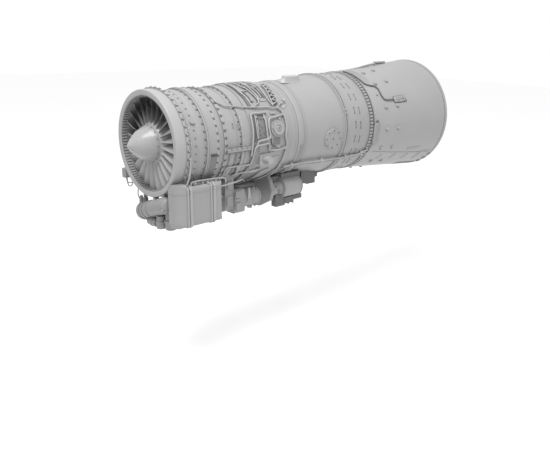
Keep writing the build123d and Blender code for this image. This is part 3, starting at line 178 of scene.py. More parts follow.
def satin(name, tone, slot=None, mottle=0.05, rough=0.42, grain=700, depth=0.00012, turned=0.0, metal=0.0,
        warm=0.0):
    """Grey satin metal: cloudy tone, uneven gloss, a fine grain and, if turned, faint lathe marks."""
    finish = Finish(name, slot)
    inputs = finish.shader.inputs
    place = finish.node("ShaderNodeTexCoord", {}, {}, "Object")
    cloud = finish.noise(place, CLOUD_SCALE, 4.0)
    speck = finish.noise(place, SPECK_SCALE, 3.0)
    light, dark = tone * (1 + mottle), tone * (1 - mottle)
    blend = (cloud * 0.7 + speck * 0.3 - 0.5) * 2.2 + 0.5
    mix = {"Factor": blend, 6: (dark * (1 + warm), dark, dark * (1 - warm), 1), 7: (light, light, light, 1)}
    finish.feed(inputs["Base Color"], finish.node("ShaderNodeMix", {"data_type": "RGBA"}, mix, 2))
    finish.feed(inputs["Roughness"], (speck - 0.5) * 0.16 + rough + (cloud - 0.5) * 0.14)
    inputs["Metallic"].default_value = metal
    inputs["Specular IOR Level"].default_value = SATIN_SHINE
    height = finish.noise(place, grain, 2.0)
    if turned:
        x = finish.node("ShaderNodeSeparateXYZ", {}, {0: place}, "X")
        y, z = (Wire(finish, x.socket.node.outputs[axis]) for axis in "YZ")
        reach = x * x + z * z
        rings = finish.node("ShaderNodeCombineXYZ", {}, {0: y, 1: reach.maths("SQRT", reach), 2: 0.0})
        height = height * (1 - turned) + finish.noise(rings, LATHE_SCALE, 3.0) * turned * 2.0
    bump = finish.node("ShaderNodeBump", {}, {"Strength": 0.6, "Distance": depth, "Height": height})
    finish.feed(inputs["Normal"], bump)
    return finish


def dress(finish, *nodes):
    """Gives CAD nodes their finish."""
    for node in nodes:
        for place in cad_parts[node].material_slots:
            place.material = finish.material


def seat(station, angle, radius, turn=0.0, slope=0.0):
    """Place on the engine, angle from +X towards +Z; local x points aft, z out; slope opens aft."""
    a = math.radians(angle)
    out = Vector((math.cos(a), 0, math.sin(a)))
    aft = Vector((0, 1, 0))
    place = Matrix((aft, Vector((-math.sin(a), 0, math.cos(a))), out)).transposed().to_4x4()
    place.translation = out * radius + aft * station
    return place @ Matrix.Rotation(-slope, 4, "Y") @ Matrix.Rotation(math.radians(turn), 4, "Z")


def at(x, y, z, axis="Z", turn=0.0):
    """Place given by its offsets, turned about one of its own axes."""
    return Matrix.Translation((x, y, z)) @ Matrix.Rotation(math.radians(turn), 4, axis)


def rounded(width, length, corner, steps=4):
    """Outline of a rounded rectangle about the local origin."""
    points = []
    for quarter, (sx, sy) in enumerate(((1, 1), (-1, 1), (-1, -1), (1, -1))):
        for step in range(steps + 1):
            a = math.radians(90 * quarter + 90 * step / steps)
            points.append((sx * (width / 2 - corner) + corner * math.cos(a),
                sy * (length / 2 - corner) + corner * math.sin(a)))
    return points


def slab(start, end, low, high, ease=0.0):
    """Outline of a flat band for a hoop, its outer edges eased."""
    return [(start, low), (start + ease, high), (end - ease, high), (end, low)]


def raised(start, end, low, high, lean, drop, shoulder):
    """Outline of a raised band for a hoop, its edges rounded in two steps."""
    return [(start, low), (start + lean, high - drop), (start + shoulder, high), (end - shoulder, high),
        (end - lean, high - drop), (end, low)]


def circle(radius, height, steps):
    """Ring of points about the local z axis."""
    turns = [2 * math.pi * step / steps for step in range(steps)]
    return [Vector((radius * math.cos(a), radius * math.sin(a), height)) for a in turns]


class Bench:
    """Closed solids gathered into one mesh."""

    def __init__(self):
        self.mesh = bmesh.new()

    def loft(self, rings, closed=False):
        loops = [[self.mesh.verts.new(point) for point in ring] for ring in rings]
        count = len(loops[0])
        for lower, upper in zip(loops, loops[1:] + (loops[:1] if closed else [])):
            for here in range(count):
                there = (here + 1) % count
                self.mesh.faces.new((lower[here], lower[there], upper[there], upper[here]))
        if not closed:
            self.mesh.faces.new(loops[0][::-1])
            self.mesh.faces.new(loops[-1])
        return self

    def turned(self, place, profile, steps=12, wide=1, tall=1):
        """Solid turned about the local z axis; profile holds (radius, height) in parts of wide and tall."""
        return self.loft([[place @ point for point in circle(wide * r, tall * h, steps)] for r, h in profile])

    def collar(self, place, middle, radius, width, depth, edge, steps):
        """Ring with eased edges round the local z axis."""
        low, high = middle - width / 2, middle + width / 2
        profile = ((radius - depth, low), (radius - edge, low), (radius, low + edge), (radius, high - edge),
            (radius - edge, high), (radius - depth, high))
        spokes = zip(*(circle(r, h, steps) for r, h in profile))
        self.loft([[place @ point for point in spoke] for spoke in spokes], closed=True)

    def pad(self, place, size, corner, low, high, edge=0.0):
        """Rounded plate from low to high with its upper edge broken."""
        rings = []
        for inset, height in [(0.0, low), (0.0, high - edge), (edge, high)] if edge else [(0.0, low), (0.0, high)]:
            outline = rounded(size[0] - 2 * inset, size[1] - 2 * inset, max(corner - inset, 0.2))
            rings.append([place @ Vector((x, y, height)) for x, y in outline])
        return self.loft(rings)

    def hoop(self, outline, first=0.0, last=360.0, step=2.0):
        """Outline of (station, radius) swept round the engine axis."""
        full = abs(last - first) >= 360.0
        count = max(2, math.ceil(abs(last - first) / step))
        angles = [math.radians(first + (last - first) * n / count) for n in range(count if full else count + 1)]
        rings = [[Vector((r * math.cos(a), y, r * math.sin(a))) for y, r in outline] for a in angles]
        return self.loft(rings, closed=full)

    def nut(self, place, across, height):
        """Hexagon nut on a washer, with the end of its stud."""
        self.turned(place, [(0.72, 0), (0.72, 0.16)], 10, across, height)
        self.turned(place, [(0.56, 0.16), (0.56, 0.8), (0.47, 1)], 6, across, height)
        self.turned(place, [(0.27, 1), (0.27, 1.35), (0.2, 1.45)], 6, across, height)

    def loose(self):
        """The mesh in metres, facing outwards."""
        bmesh.ops.recalc_face_normals(self.mesh, faces=self.mesh.faces)
        mesh = bpy.data.meshes.new("bench")
        self.mesh.to_mesh(mesh)
        self.mesh.free()
        mesh.transform(Matrix.Scale(MM, 4))
        return mesh


def keep(shape, name, finish, slot=None, body="engine", crease=35.0):
    """Turns a bench or a mesh into a finished piece that rides on a body."""
    mesh = shape.loose() if isinstance(shape, Bench) else shape
    mesh.name = name
    mesh.materials.clear()
    mesh.materials.append(finish.material)
    mesh.shade_smooth()
    mesh.set_sharp_from_angle(angle=math.radians(crease))
    piece = placed(name, mesh)
    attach(piece, body)
    slot or finish.slot
    return piece


class Pattern:
    """Geometry Nodes tree with named inputs, run on a mesh to give a plain mesh."""

    def __init__(self, name, **inputs):
        self.tree = bpy.data.node_groups.new(name, "GeometryNodeTree")
        self.tree.interface.new_socket("Geometry", in_out="OUTPUT", socket_type="NodeSocketGeometry")
        for label, kind in inputs.items():
            self.tree.interface.new_socket(label, in_out="INPUT", socket_type="NodeSocket" + kind)
        self.given = self.tree.nodes.new("NodeGroupInput").outputs

    def node(self, kind, inputs, **settings):
        made = self.tree.nodes.new(kind)
        for name, value in settings.items():
            setattr(made, name, value)
        for name, value in inputs.items():
            if isinstance(value, bpy.types.NodeSocket):
                self.tree.links.new(value, made.inputs[name])
            else:
                made.inputs[name].default_value = value
        return made.outputs[0]

    def close(self, shape):
        coat = self.node("GeometryNodeSetMaterial", {0: shape, "Material": self.given["Finish"]})
        self.tree.links.new(coat, self.tree.nodes.new("NodeGroupOutput").inputs[0])

    def grow(self, mesh, settings):
        holder = placed("pattern", mesh)
        modifier = holder.modifiers.new("pattern", "NODES")
        modifier.node_group = self.tree
        sockets = {item.name: item.identifier for item in self.tree.interface.items_tree if item.in_out == "INPUT"}
        for label, value in settings.items():
            modifier[sockets[label]] = value
        result = bpy.data.meshes.new_from_object(holder.evaluated_get(bpy.context.evaluated_depsgraph_get()))
        holder.modifiers.remove(modifier)
        bpy.data.objects.remove(holder)
        return result


def copies_pattern():
    """Copies of the pattern turned about the engine axis."""
    copies = Pattern("copies_round_the_axis", Copied="Geometry", Count="Int", First="Float", Turn="Float",
        Finish="Material")
    given, node = copies.given, copies.node
    index = node("GeometryNodeInputIndex", {})
    turn = node("ShaderNodeMath", {0: index, 1: given["Turn"], 2: given["First"]}, operation="MULTIPLY_ADD")
    points = node("GeometryNodePoints", {"Count": given["Count"]})
    turned = {"Points": points, "Instance": given["Copied"], "Rotation": node("ShaderNodeCombineXYZ", {"Y": turn})}
    copies.close(node("GeometryNodeRealizeInstances", {0: node("GeometryNodeInstanceOnPoints", turned)}))
    return copies


COPIES = copies_pattern()


def ring_of(bench, name, count, finish, slot=None, first=0.0, spread=360.0, body="engine"):
    """Copies of what is on the bench, spread evenly round the engine from its own place."""
    gap = spread / count if spread >= 360.0 else spread / max(count - 1, 1)
    settings = {"Count": count, "First": -math.radians(first), "Turn": -math.radians(gap),
        "Finish": finish.material}
    return keep(COPIES.grow(bench.loose(), settings), name, finish, slot, body)


lip_finish = satin("lip_alloy", 0.252, "lip_alloy", mottle=0.04, rough=0.36, turned=0.5)
dress(lip_finish, "inlet_ring")
INLET_BORE = 337
ring_of(Bench().pad(seat(28, 0, INLET_BORE - 4.5), (40, 12.5), 1.5, 0, 5), "inlet_bore_ribs", 96, lip_finish)
# Dark band round the bore behind the ribs: painted shade for the shadow inside the inlet.
bore_shade_finish = satin("slot_shadow", 0.110, "lip_alloy", mottle=0.1, rough=0.6)
keep(Bench().hoop(slab(6, 47, INLET_BORE - 1, INLET_BORE + 1)), "inlet_bore_painted_shade", bore_shade_finish)


# First compressor casing. A turned magnesium casing between two bolted flanges, with a rivet row,
# two shallow bands, a thin raised rim and small lugs.
# Dark finish: painted shade. It goes on nuts, washers, studs, dashes, pads and thin lines to stand for the shadow
# that falls under and between parts.
dark_shade_finish = satin("painted_dark_shade", 0.085, "fitting_alloy", mottle=0.12, rough=0.4, grain=1500.0)
casing_finish = satin("compressor_casing", 0.222, "compressor_casing", mottle=0.05, rough=0.46, depth=0.0002)
dress(casing_finish, "low_pressure_case", "mid_frame", "high_pressure_case_lower", "high_pressure_case_upper")
FLANGE_BOLTS = 44
CASING_BOLTS = 42
REAR_BOLTS = 43
CASING_WALL = 366
FLANGE_FACE = 375.2
ring_of(Bench().turned(seat(89, 0, 391.2), [(10.5, 0), (10.5, 2.4), (8, 3.2)], 10), "front_flange_washers",
    FLANGE_BOLTS, dark_shade_finish, first=7)
# The caps sit a little above their nuts and take the lighter finish: painted highlight on their lit tops.
front_cap = Bench()
front_cap.turned(seat(92.5, 0.55, 391.2), [(5, 0), (5, 6), (3, 7.8)], 8)
for station, angle, size in ((104, 0.9, 8), (112, -1.2, 6), (118, 1.8, 7), (124, -0.4, 8), (106, 3.4, 7),
        (116, 4.4, 8), (125, 3.2, 6), (109, 5.8, 8), (121, 6.4, 7)):
    front_cap.pad(seat(station, angle, 365.2), (size, size * 1.2), 2, 0, 9, 1.5)
# Lighter finish: painted highlight on raised caps, strips, teeth, pads, clips, a cable and the shroud lip, where
# light falls on their tops.
highlight_finish = satin("painted_highlight_alloy", 0.30, "compressor_casing", mottle=0.05, rough=0.34)
ring_of(front_cap, "front_flange_caps", FLANGE_BOLTS, highlight_finish, first=7)
casing_bands = Bench()
for start, end in ((112, 146), (186, 238)):
    casing_bands.hoop(raised(start, end, CASING_WALL - 2, CASING_WALL + 1.6, 0, 1, 2))
casing_bands.hoop(raised(270, 278, 374, 381.5, 0, 1.5, 2))
keep(casing_bands, "casing_bands", casing_finish)
# Mid-dark finish: painted shade on rivets, bolts, grooves, joint lines and flat plates where shadow falls under and
# between parts.
mid_shade_finish = satin("painted_mid_shade", 0.135, "fitting_alloy", mottle=0.08, rough=0.45)
ring_of(Bench().turned(seat(165.5, 0, CASING_WALL - 1), [(7.8, 0), (7.8, 3), (5.2, 5.5), (2, 6.5)], 8),
    "casing_rivets", CASING_BOLTS, mid_shade_finish, first=2.75)
ring_of(Bench().turned(seat(246.5, 0, CASING_WALL - 1), [(8.8, 0), (8.8, 2.5), (6.8, 4.5)], 10), "rim_nuts",
    CASING_BOLTS, dark_shade_finish, first=0.25)
ring_of(Bench().turned(seat(249.5, 0.5, CASING_WALL - 1), [(4.6, 0), (4.6, 8), (2.8, 9.5)], 8), "rim_nut_caps",
    CASING_BOLTS, casing_finish, first=0.25)


# Middle frame. The forged ring between the two compressors, bolted through both its flanges;
# studs with heavier nuts stand at the rear flange.
mid_nuts = Bench()
mid_nuts.turned(seat(347.5, 0, FLANGE_FACE), [(7.2, 0), (7.2, 3), (5, 4.4)], 8)
mid_nuts.pad(seat(346.5, 0.75, FLANGE_FACE), (19, 4.2), 1, 0, 4, 1)
ring_of(mid_nuts, "mid_frame_front_nuts", FLANGE_BOLTS, dark_shade_finish, first=5.2)
mid_strips = Bench()
mid_strips.pad(seat(360, 0, 363.2), (5.5, 36), 2, 0, 4.8, 1)
mid_strips.pad(seat(343, 0, FLANGE_FACE), (6, 30), 2.5, 0, 3.6, 1)
ring_of(mid_strips, "mid_frame_strips", FLANGE_BOLTS, highlight_finish, first=5.2 + 180 / FLANGE_BOLTS)
rear_nuts = Bench()
rear_nuts.turned(seat(413.5, 0, FLANGE_FACE), [(8.4, 0), (8.4, 3.6), (6, 5.6)], 10)
rear_nuts.pad(seat(415, 0.9, FLANGE_FACE), (19, 4.5), 1, 0, 5, 1)
ring_of(rear_nuts, "mid_frame_rear_nuts", REAR_BOLTS, dark_shade_finish, first=6.9)
rim_lugs = Bench()
rim_lugs.pad(seat(429, 0, 365.2), (8, 34), 3, 0, 8, 2)
rim_lugs.pad(seat(423, 2.9, 365.2), (13, 10), 3, 0, 10, 2)
rim_lugs.pad(seat(407, 0, FLANGE_FACE), (6, 28), 2.5, 0, 3.6, 1)
ring_of(rim_lugs, "mid_frame_rim_lugs", REAR_BOLTS, highlight_finish, first=6.9 + 180 / REAR_BOLTS)
joint_cluster = Bench()
for number in range(8):
    joint_cluster.nut(seat(284 + 7.6 * number, -8.8 - 1.3 * (number % 2), FLANGE_FACE), 10, 9)
keep(joint_cluster, "joint_bolt_cluster", dark_shade_finish)
# Mid-dark slabs below the horizontal joint: painted shade on the casing's lower side.
shaded = Bench()
for start, end, radius in ((283, 338, 376), (507, 536, 366), (446, 458, 366), (588, 592, 378)):
    shaded.hoop(slab(start, end, radius - 1, radius + 1), first=-10.5, last=-52)
keep(shaded, "casing_painted_shade", mid_shade_finish, "compressor_casing")
lugs = Bench()
for angle in (28, 208):
    lugs.pad(seat(168, angle, 365), (36, 24), 10, 0, 16, 5)
keep(lugs, "casing_lugs", casing_finish)


# Compressor blading. Twenty-four wide twisted first-stage blades on their hub, then the drums with
# their rows of blades and the fixed vanes between them, all milled from one grey alloy.
blade_finish = satin("fan_alloy", 0.28, mottle=0.03, rough=0.34, grain=1200.0, depth=0.00006)
dress(blade_finish, "fan_rotor", "low_pressure_drum", "high_pressure_drum", "stator_vanes")
shaft_finish = satin("shaft_steel", 0.231, mottle=0.04, rough=0.3, turned=0.8)
dress(shaft_finish, "low_pressure_shaft", "high_pressure_shaft")


# Spinner. A pressed and spun nose cone on the first-stage hub, smooth, with a ring of small
# countersunk screws near its rim; it turns with the rotor.
spinner_finish = satin("spinner_paint", 0.245, "spinner_paint", mottle=0.02, rough=0.26, grain=900.0, depth=0.00004,
    turned=0.4)
SPINNER_TIP = -146
SPINNER_RIM = 33.5
nose = Bench()
nose_handles = ((0, SPINNER_TIP), (20, SPINNER_TIP + 12), (104, -70), (137, SPINNER_RIM))
nose_profile = [(0.6, SPINNER_TIP)]
for step in range(1, 29):
    t = step / 28
    weights = ((1 - t) ** 3, 3 * t * (1 - t) ** 2, 3 * t * t * (1 - t), t ** 3)
    nose_profile.append([sum(weight * handle[k] for weight, handle in zip(weights, nose_handles)) for k in (0, 1)])
nose_profile += [(132, SPINNER_RIM), (100, -50), (48, -108), (4, -134)]
nose.turned(at(0, 0, 0, "X", -90), nose_profile, 72)
spinner_shell = keep(nose, "spinner_shell", spinner_finish, body="low_pressure_rotor", crease=40)
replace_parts(spinner_shell, "spinner")
ring_of(Bench().turned(seat(18, 0, 135.2), [(4, 0), (4, 1.2), (2, 1.8)], 8), "spinner_screws", 16, dark_shade_finish,
    body="low_pressure_rotor")


# High-pressure casings. Two half casings joined along a bolted horizontal flange with scalloped
# edges; below the joint light panels stand between ribs, above it small rivet groups.
SPLIT_BOLTS = 9
SPLIT_PITCH = 23.5
for side, face in ((1, 352), (-1, 172)):
    joint = at(0, 0, 0, "Y", 7.5)
    bolts, lugs = Bench(), Bench()
    for number in range(SPLIT_BOLTS):
        station = 432 + number * SPLIT_PITCH
        (bolts if number % 2 else lugs).nut(joint @ at(side * 386.5, station, 6.8), 13.5, 9)
        bolts.nut(joint @ at(side * 386.5, station, -6.8) @ at(0, 0, 0, "X", 180), 12.5, 10)
    for number in range(SPLIT_BOLTS + 1):
        station = 421.5 + number * SPLIT_PITCH
        for low, bench in ((6.8, lugs), (-14.8, bolts)):
            bench.pad(joint @ at(side * 380, station, low), (24, 13), 3, 0, 8, 1)
    keep(bolts, f"split_joint_bolts_{face}", mid_shade_finish)
    keep(lugs, f"split_joint_lugs_{face}", casing_finish)
panels = Bench()
for middle, length, first, last in ((482, 44, -11, -27), (613, 40, -11, -26), (482, 44, -31, -48),
        (560, 40, -46, -60), (613, 40, -31, -48), (482, 44, 168, 185), (613, 40, 168, 185), (482, 44, 189, 206),
        (548, 40, 189, 206), (613, 40, 189, 206)):
    edges = raised(middle - length / 2, middle + length / 2, CASING_WALL - 2, CASING_WALL + 5.2, 2, 1.5, 5)
    panels.hoop(edges, first, last)
keep(panels, "compressor_panels", casing_finish)
groups = Bench()
group_dots = Bench()
for station, angle in ((498, 20), (540, 18), (618, 19), (490, 158), (616, 160)):
    groups.pad(seat(station, angle, CASING_WALL - 1), (16, 46), 7.8, 0, 4.2, 1)
    for offset in (-14, 0, 14):
        place = seat(station, angle, CASING_WALL + 3) @ at(0, offset, 0)
        group_dots.turned(place, [(4.2, 0), (4.2, 2.2), (2.2, 3.6)], 8)
keep(groups, "rivet_group_plates", casing_finish)
keep(group_dots, "rivet_group_heads", dark_shade_finish)
rim_back = Bench()
rim_back.turned(seat(554.5, 0, 365.5), [(7.8, 0), (7.8, 4), (5.5, 6)], 10)
rim_back.pad(seat(554.5, 0.9, 365.5), (13, 4), 1, 0, 6, 1)
ring_of(rim_back, "high_rim_nuts", REAR_BOLTS, dark_shade_finish, first=6.75)
rim_tooth = Bench()
rim_tooth.pad(seat(566.5, 0, 377.2), (8, 18), 3, 0, 3.6, 1)
rim_tooth.pad(seat(556, 2.2, 365), (8, 9), 3, 0, 7.5, 2)
ring_of(rim_tooth, "high_rim_teeth", REAR_BOLTS, highlight_finish, first=2.6)
rib_band = Bench()
for station in (436, 524, 592):
    rib_band.hoop(raised(station - 4, station + 4, 364, 370.5, 0.5, 1, 2))
keep(rib_band, "compressor_hoops", casing_finish)


# Burner casing. A welded steel drum round the flame tube, crossed by fuel, oil and drain pipes,
# cable looms on clips, and a framed box beside the bleed valve. Dark cables and strips beside the
# light pipes are painted shade.
burner_finish = satin("burner_casing", 0.222, "burner_casing", mottle=0.06, rough=0.44, turned=0.15)
dress(burner_finish, "burner_case")
pipe_finish = satin("pipe_steel", 0.25, "fitting_alloy", mottle=0.08, rough=0.33, grain=1400.0)
# Dark finish: painted shade on cables and strips laid where shadow falls between pipes and casing, and the dark
# colour of the jack feed pipe.
dark_pipe_and_shade_finish = satin("dark_pipe_and_painted_shade", 0.085, "fitting_alloy", mottle=0.14, rough=0.55, grain=1800.0, depth=0.0003)
hot_finish = satin("hot_section", 0.21, mottle=0.10, rough=0.5, metal=0.3, warm=0.03)
dress(hot_finish, "inner_case", "flame_tube", "burners", "high_pressure_turbine", "low_pressure_turbine",
    "exhaust_cone", "flame_holder")


def tubes_pattern():
    """Round tubes with bends along the edges of a mesh."""
    pipes = Pattern("tubes_along_courses", Course="Geometry", Bend="Float", Radius="Float", Sides="Int",
        Finish="Material")
    given, node = pipes.given, pipes.node
    line = node("GeometryNodeMeshToCurve", {"Mesh": given["Course"]})
    bend = {"Curve": line, "Radius": given["Bend"], "Count": 3, "Limit Radius": True}
    line = node("GeometryNodeFilletCurve", bend, mode="POLY")
    section = node("GeometryNodeCurvePrimitiveCircle", {"Resolution": given["Sides"], "Radius": given["Radius"]})
    pipes.close(node("GeometryNodeCurveToMesh", {"Curve": line, "Profile Curve": section, "Fill Caps": True}))
    return pipes


TUBES = tubes_pattern()


def course(*points, step=6.0):
    """Line laid on the engine through (station, angle, radius), following the curve between them."""
    places = []
    for (y0, a0, r0), (y1, a1, r1) in zip(points, points[1:]):
        count = max(1, round(abs(a1 - a0) / step))
        for number in range(count):
            t = number / count
            places.append((y0 + (y1 - y0) * t, a0 + (a1 - a0) * t, r0 + (r1 - r0) * t))
    places.append(points[-1])
    return [(r * math.cos(math.radians(a)), y, r * math.sin(math.radians(a))) for y, a, r in places]


def tubes(name, courses, radius, bend, finish, sides=10, slot=None):
    """One piece of round tubes, all of one size."""
    lines = bpy.data.meshes.new(name)
    points, edges = [], []
    for places in courses:
        edges += [(len(points) + n, len(points) + n + 1) for n in range(len(places) - 1)]
        points += places
    lines.from_pydata(points, edges, [])
    lines.transform(Matrix.Scale(MM, 4))
    settings = {"Bend": bend * MM, "Radius": radius * MM, "Sides": sides, "Finish": finish.material}
    return keep(TUBES.grow(lines, settings), name, finish, slot, crease=50)


BURNER_WALL = 385
BURNER_SKIN = BURNER_WALL - 1
BURNER_START = 640
tubes("burner_main_pipes", [
    course((812, 30, 392), (802, 30, 400), (664, 30, 400), (654, 24, 400), (650, 12, 400), (641, -1, 399),
        (640, -16, 396)),
    course((800, -4, 394), (794, -4, 400), (680, -5, 400), (663, -8, 400), (657, -18, 399), (651, -26, 397),
        (634, -28, 388), (586, -28, 380), (450, -28, 378), (438, -32, 378), (440, -48, 377)),
    course((690, -5, 396), (690, -1, 399), (704, 0, 400), (784, 1, 400), (808, 2, 400), (813, 5, 400),
        (805, 12, 400), (812, 20, 400), (830, 23, 400), (900, 24, 400), (970, 26, 400), (982, 23, 399),
        (984, 12, 399), (966, 1, 399), (984, -8, 399), (974, -23, 398), (968, -36, 397), (950, -60, 396),
        (930, -92, 392)),
    course((800, -5, 398), (810, -11, 398), (822, -12.5, 398), (902, -13, 398), (974, -12, 398)),
    course((770, -36, 393), (740, -36, 398), (668, -37, 398), (625, -38.5, 389), (560, -40.5, 383), (534, -43, 380),
        (538, -50, 379), (594, -66, 378)),
    course((572, -47, 377), (602, -63, 377)),
    course((1084, -40, 390), (1093, -51, 395), (1066, -61, 395), (1050, -76, 394), (1020, -94, 390)),
    course((926, 34.5, 400), (942, 33.5, 404), (964, 30, 402), (977, 25, 398)),
    course((660, 150, 396), (830, 150, 396), (850, 172, 396), (980, 176, 396), (1020, 215, 396)),
    course((700, 225, 396), (690, 196, 396), (470, 194, 378)),
], 7.1, 14, pipe_finish)
tubes("burner_hoses", [
    course((428, 84, 378), (420, 64, 378), (430, 50, 378), (477, 44, 380), (570, 41, 388), (662, 38, 396),
        (722, 37, 398), (844, 36, 398), (896, 34.5, 400), (932, 34.5, 402), (974, 38, 402), (1010, 40, 398)),
    course((746, 90, 394), (746, 73, 396), (770, 66, 397), (774, 60, 397), (786, 52, 398), (793, 47, 398),
        (790, 43.5, 398), (774, 41.5, 398), (752, 40, 398), (720, 38, 397)),
    course((806, 90, 394), (808, 72, 397), (800, 62, 398), (803, 55, 398), (806, 50, 398), (798, 45, 397)),
    course((822, 84, 396), (824, 70, 397), (834, 65, 397), (840, 56, 397), (838, 49, 396)),
    course((852, 92, 396), (880, 79, 399), (908, 73, 400), (900, 66, 400), (889, 58, 400), (886, 48, 400),
        (892, 43, 400), (904, 37, 400)),
    course((680, 90, 393), (682, 60, 395), (700, 51, 396), (701, 45, 396), (706, 38, 396)),
    course((665, 120, 392), (750, 108, 398), (930, 104, 398), (1070, 108, 392)),
    course((660, 205, 392), (800, 206, 397), (930, 230, 396), (950, 268, 394)),
    course((870, -39, 395), (796, -42, 396), (770, -52, 396), (745, -63, 396), (690, -72, 394)),
], 5.4, 20, pipe_finish, 8)
thin_runs = []
for number in range(6):
    thin_runs.append(course((672 + 9 * number, -5, 392), (668 + 10 * number, -16, 393.5),
        (655 + 11 * number, -27, 393), (628 + 14 * number, -38, 392), (600 + 18 * number, -60, 389),
        (590 + 24 * number, -88, 388)))
for number in range(5):
    spot = 930 + 20 * number
    thin_runs.append(course((spot + 20, -42, 392), (spot - 50, -62, 393), (spot - 130, -96, 391)))
    spot = 700 + 19 * number
    thin_runs.append(course((spot, 104, 393), (spot + 10, 140, 394), (spot, 186, 393), (spot + 50, 240, 392)))
tubes("thin_cables", thin_runs, 3.2, 20, pipe_finish, 6)
# Dark cables laid beside the light pipes and cables: painted shade for the gaps and shadows between them.
shade_cable_runs = [
    course((762, 88, 390), (764, 72, 391), (786, 62, 391), (793, 54, 391), (785, 44, 391)),
    course((775, 86, 390), (779, 70, 391), (793, 60, 391), (798, 50, 391), (780, 43.5, 391)),
    course((836, 82, 390), (842, 71, 391), (850, 62, 391), (852, 55, 391), (866, 48, 391)),
    course((858, 80, 390), (866, 70, 391), (866, 62, 391), (868, 54, 391), (872, 49, 391)),
    course((664, 80, 390), (668, 60, 390), (678, 50, 390), (684, 38, 390)),
    course((716, 62, 389), (732, 52, 389), (734, 44, 389)),
    course((680, 28, 391), (672, 14, 391), (662, -2, 391)),
    course((674, 28, 390), (666, 14, 390), (655, -4, 390)),
    course((700, 28, 390), (780, 28, 390)),
    course((826, 1, 389), (836, -7, 389), (880, -9.5, 389)),
]
for number in range(5):
    shade_cable_runs.append(course((676.5 + 9 * number, -5, 390), (673 + 10 * number, -16, 390.5),
        (660 + 11 * number, -27, 390), (635 + 14 * number, -38, 389), (609 + 18 * number, -60, 387),
        (602 + 24 * number, -88, 387)))
for number in range(6):
    spot = 920 + 20 * number
    shade_cable_runs.append(course((spot + 20, -46, 390), (spot - 50, -62, 391), (spot - 130, -96, 390)))
    spot = 690 + 19 * number
    shade_cable_runs.append(course((spot, 104, 390), (spot + 10, 140, 391), (spot, 186, 390), (spot + 50, 240, 390)))
tubes("burner_painted_shade_cables", shade_cable_runs, 4.2, 20, dark_pipe_and_shade_finish, 6)
teeth, gaps = [], []
for number in range(13):
    angle = 74 - 2.9 * number
    centre = 982 - 3.6 * number
    swing = 20 if number % 2 else -18
    teeth += course((centre + swing + (2 if number % 2 else -2), angle, 403.5),
        (centre + swing, angle - 0.8, 403.5), step=30)
    gaps += course((centre + 5 + swing, angle - 1.2, 394.5), step=30)
stem = course((960, 74, 399), (944, 62, 399), (924, 52, 399), (914, 44, 399), (912, 38, 399))
tubes("igniter_harness", [teeth, stem], 5.2, 4, pipe_finish, 8)
tubes("harness_shade", [gaps], 5.5, 4, dark_pipe_and_shade_finish, 6)
clips = Bench()
for station, angle in ((745, 62), (735, 46), (800, 76), (870, 68), (705, 86), (660, -58), (700, -58), (910, -66),
        (950, -60), (880, -84), (720, 130), (750, 170), (740, 214)):
    clips.pad(seat(station, angle, BURNER_SKIN), (30, 10), 3, 0, 13.5, 2)
keep(clips, "loom_clips", burner_finish, "fitting_alloy")
tubes("short_drain_duct", [course((548, -28.5, 378), (565, -42, 380))], 9.5, 10, pipe_finish, 12)
# Mid-dark plates on the casing beside and below the valve box, and a dark strip at its edge: painted shade.
box_plate = Bench()
for start, end, high, first, last in ((686, 800, 386.8, 0.5, 28.5), (846, 922, 386, -9.5, 1),
        (648, 800, 386, -88, -44)):
    box_plate.hoop(slab(start, end, BURNER_SKIN, high), first, last)
keep(box_plate, "valve_box_painted_shade", mid_shade_finish, "burner_casing")
keep(Bench().hoop(slab(664, 681, BURNER_SKIN, 388.5), -1, 28), "valve_box_edge", dark_pipe_and_shade_finish)
frame_box = Bench()
for station, angle, size, low, high in (
    (706, 26.5, (26, 20), 1, 10), (700, 6, (14, 44), 1, 8),
    (782, 24.5, (26, 14), 1, 13), (790, 5, (14, 34), 1, 9),
    (846, -19, (44, 50), 0, 6), (905, -24, (60, 34), 0, 5),
    (850, 47, (60, 34), 0, 7), (880, 29, (50, 20), 0, 10),
):
    frame_box.pad(seat(station, angle, BURNER_SKIN), size, 4, low, high, 1.2)
keep(frame_box, "valve_box_plates", burner_finish)
box_dots = Bench()
for station, angle in ((726, 24), (752, 23), (728, 17), (722, 11), (726, 6), (760, 8), (745, 14)):
    box_dots.turned(seat(station, angle, BURNER_WALL), [(5.8, 1), (5.8, 6), (3, 9)], 8)
keep(box_dots, "valve_box_bolts", dark_shade_finish)
tubes("valve_box_rods", [
    course((697, 28, 396), (690, 18, 397), (687, 9, 397), (692, 2, 396)),
    course((708, 22, 394), (703, 15, 394), (702, 8, 394)),
    course((780, 28, 396), (783, 21, 398), (780, 10, 398), (784, 2, 396)),
    course((786, 27, 396), (789, 20, 397), (786, 10, 397), (790, 2, 396)),
], 4.8, 6, pipe_finish, 8)
unions = Bench()
for station, angle, size in ((810, 30, 11), (690, -4, 10), (796, -4, 11), (980, 25, 11), (805, -11, 10),
        (974, -12, 11), (770, -36, 10), (440, -46, 12), (972, -36, 11), (928, 21, 11), (898, -10, 8), (855, 70, 10),
        (745, 74, 10), (806, 74, 10), (720, 38, 10), (1010, 40, 12), (1084, -40, 12), (810, 84, 12)):
    wall = CASING_WALL if station < BURNER_START else BURNER_WALL
    place = seat(station, angle, wall - 1)
    unions.turned(place, [(1.1, 0), (1.1, 4), (0.8, 6), (0.8, 16), (0.5, 19)], 10, size)
keep(unions, "pipe_unions", pipe_finish)
sensor = Bench()
sensor.pad(seat(1026, 37, BURNER_SKIN, turn=35), (78, 34), 16.5, 0, 5, 1)
sensor.turned(seat(1034, 42, BURNER_SKIN), [(16, 0), (16, 20), (13, 29), (6, 34)], 16)
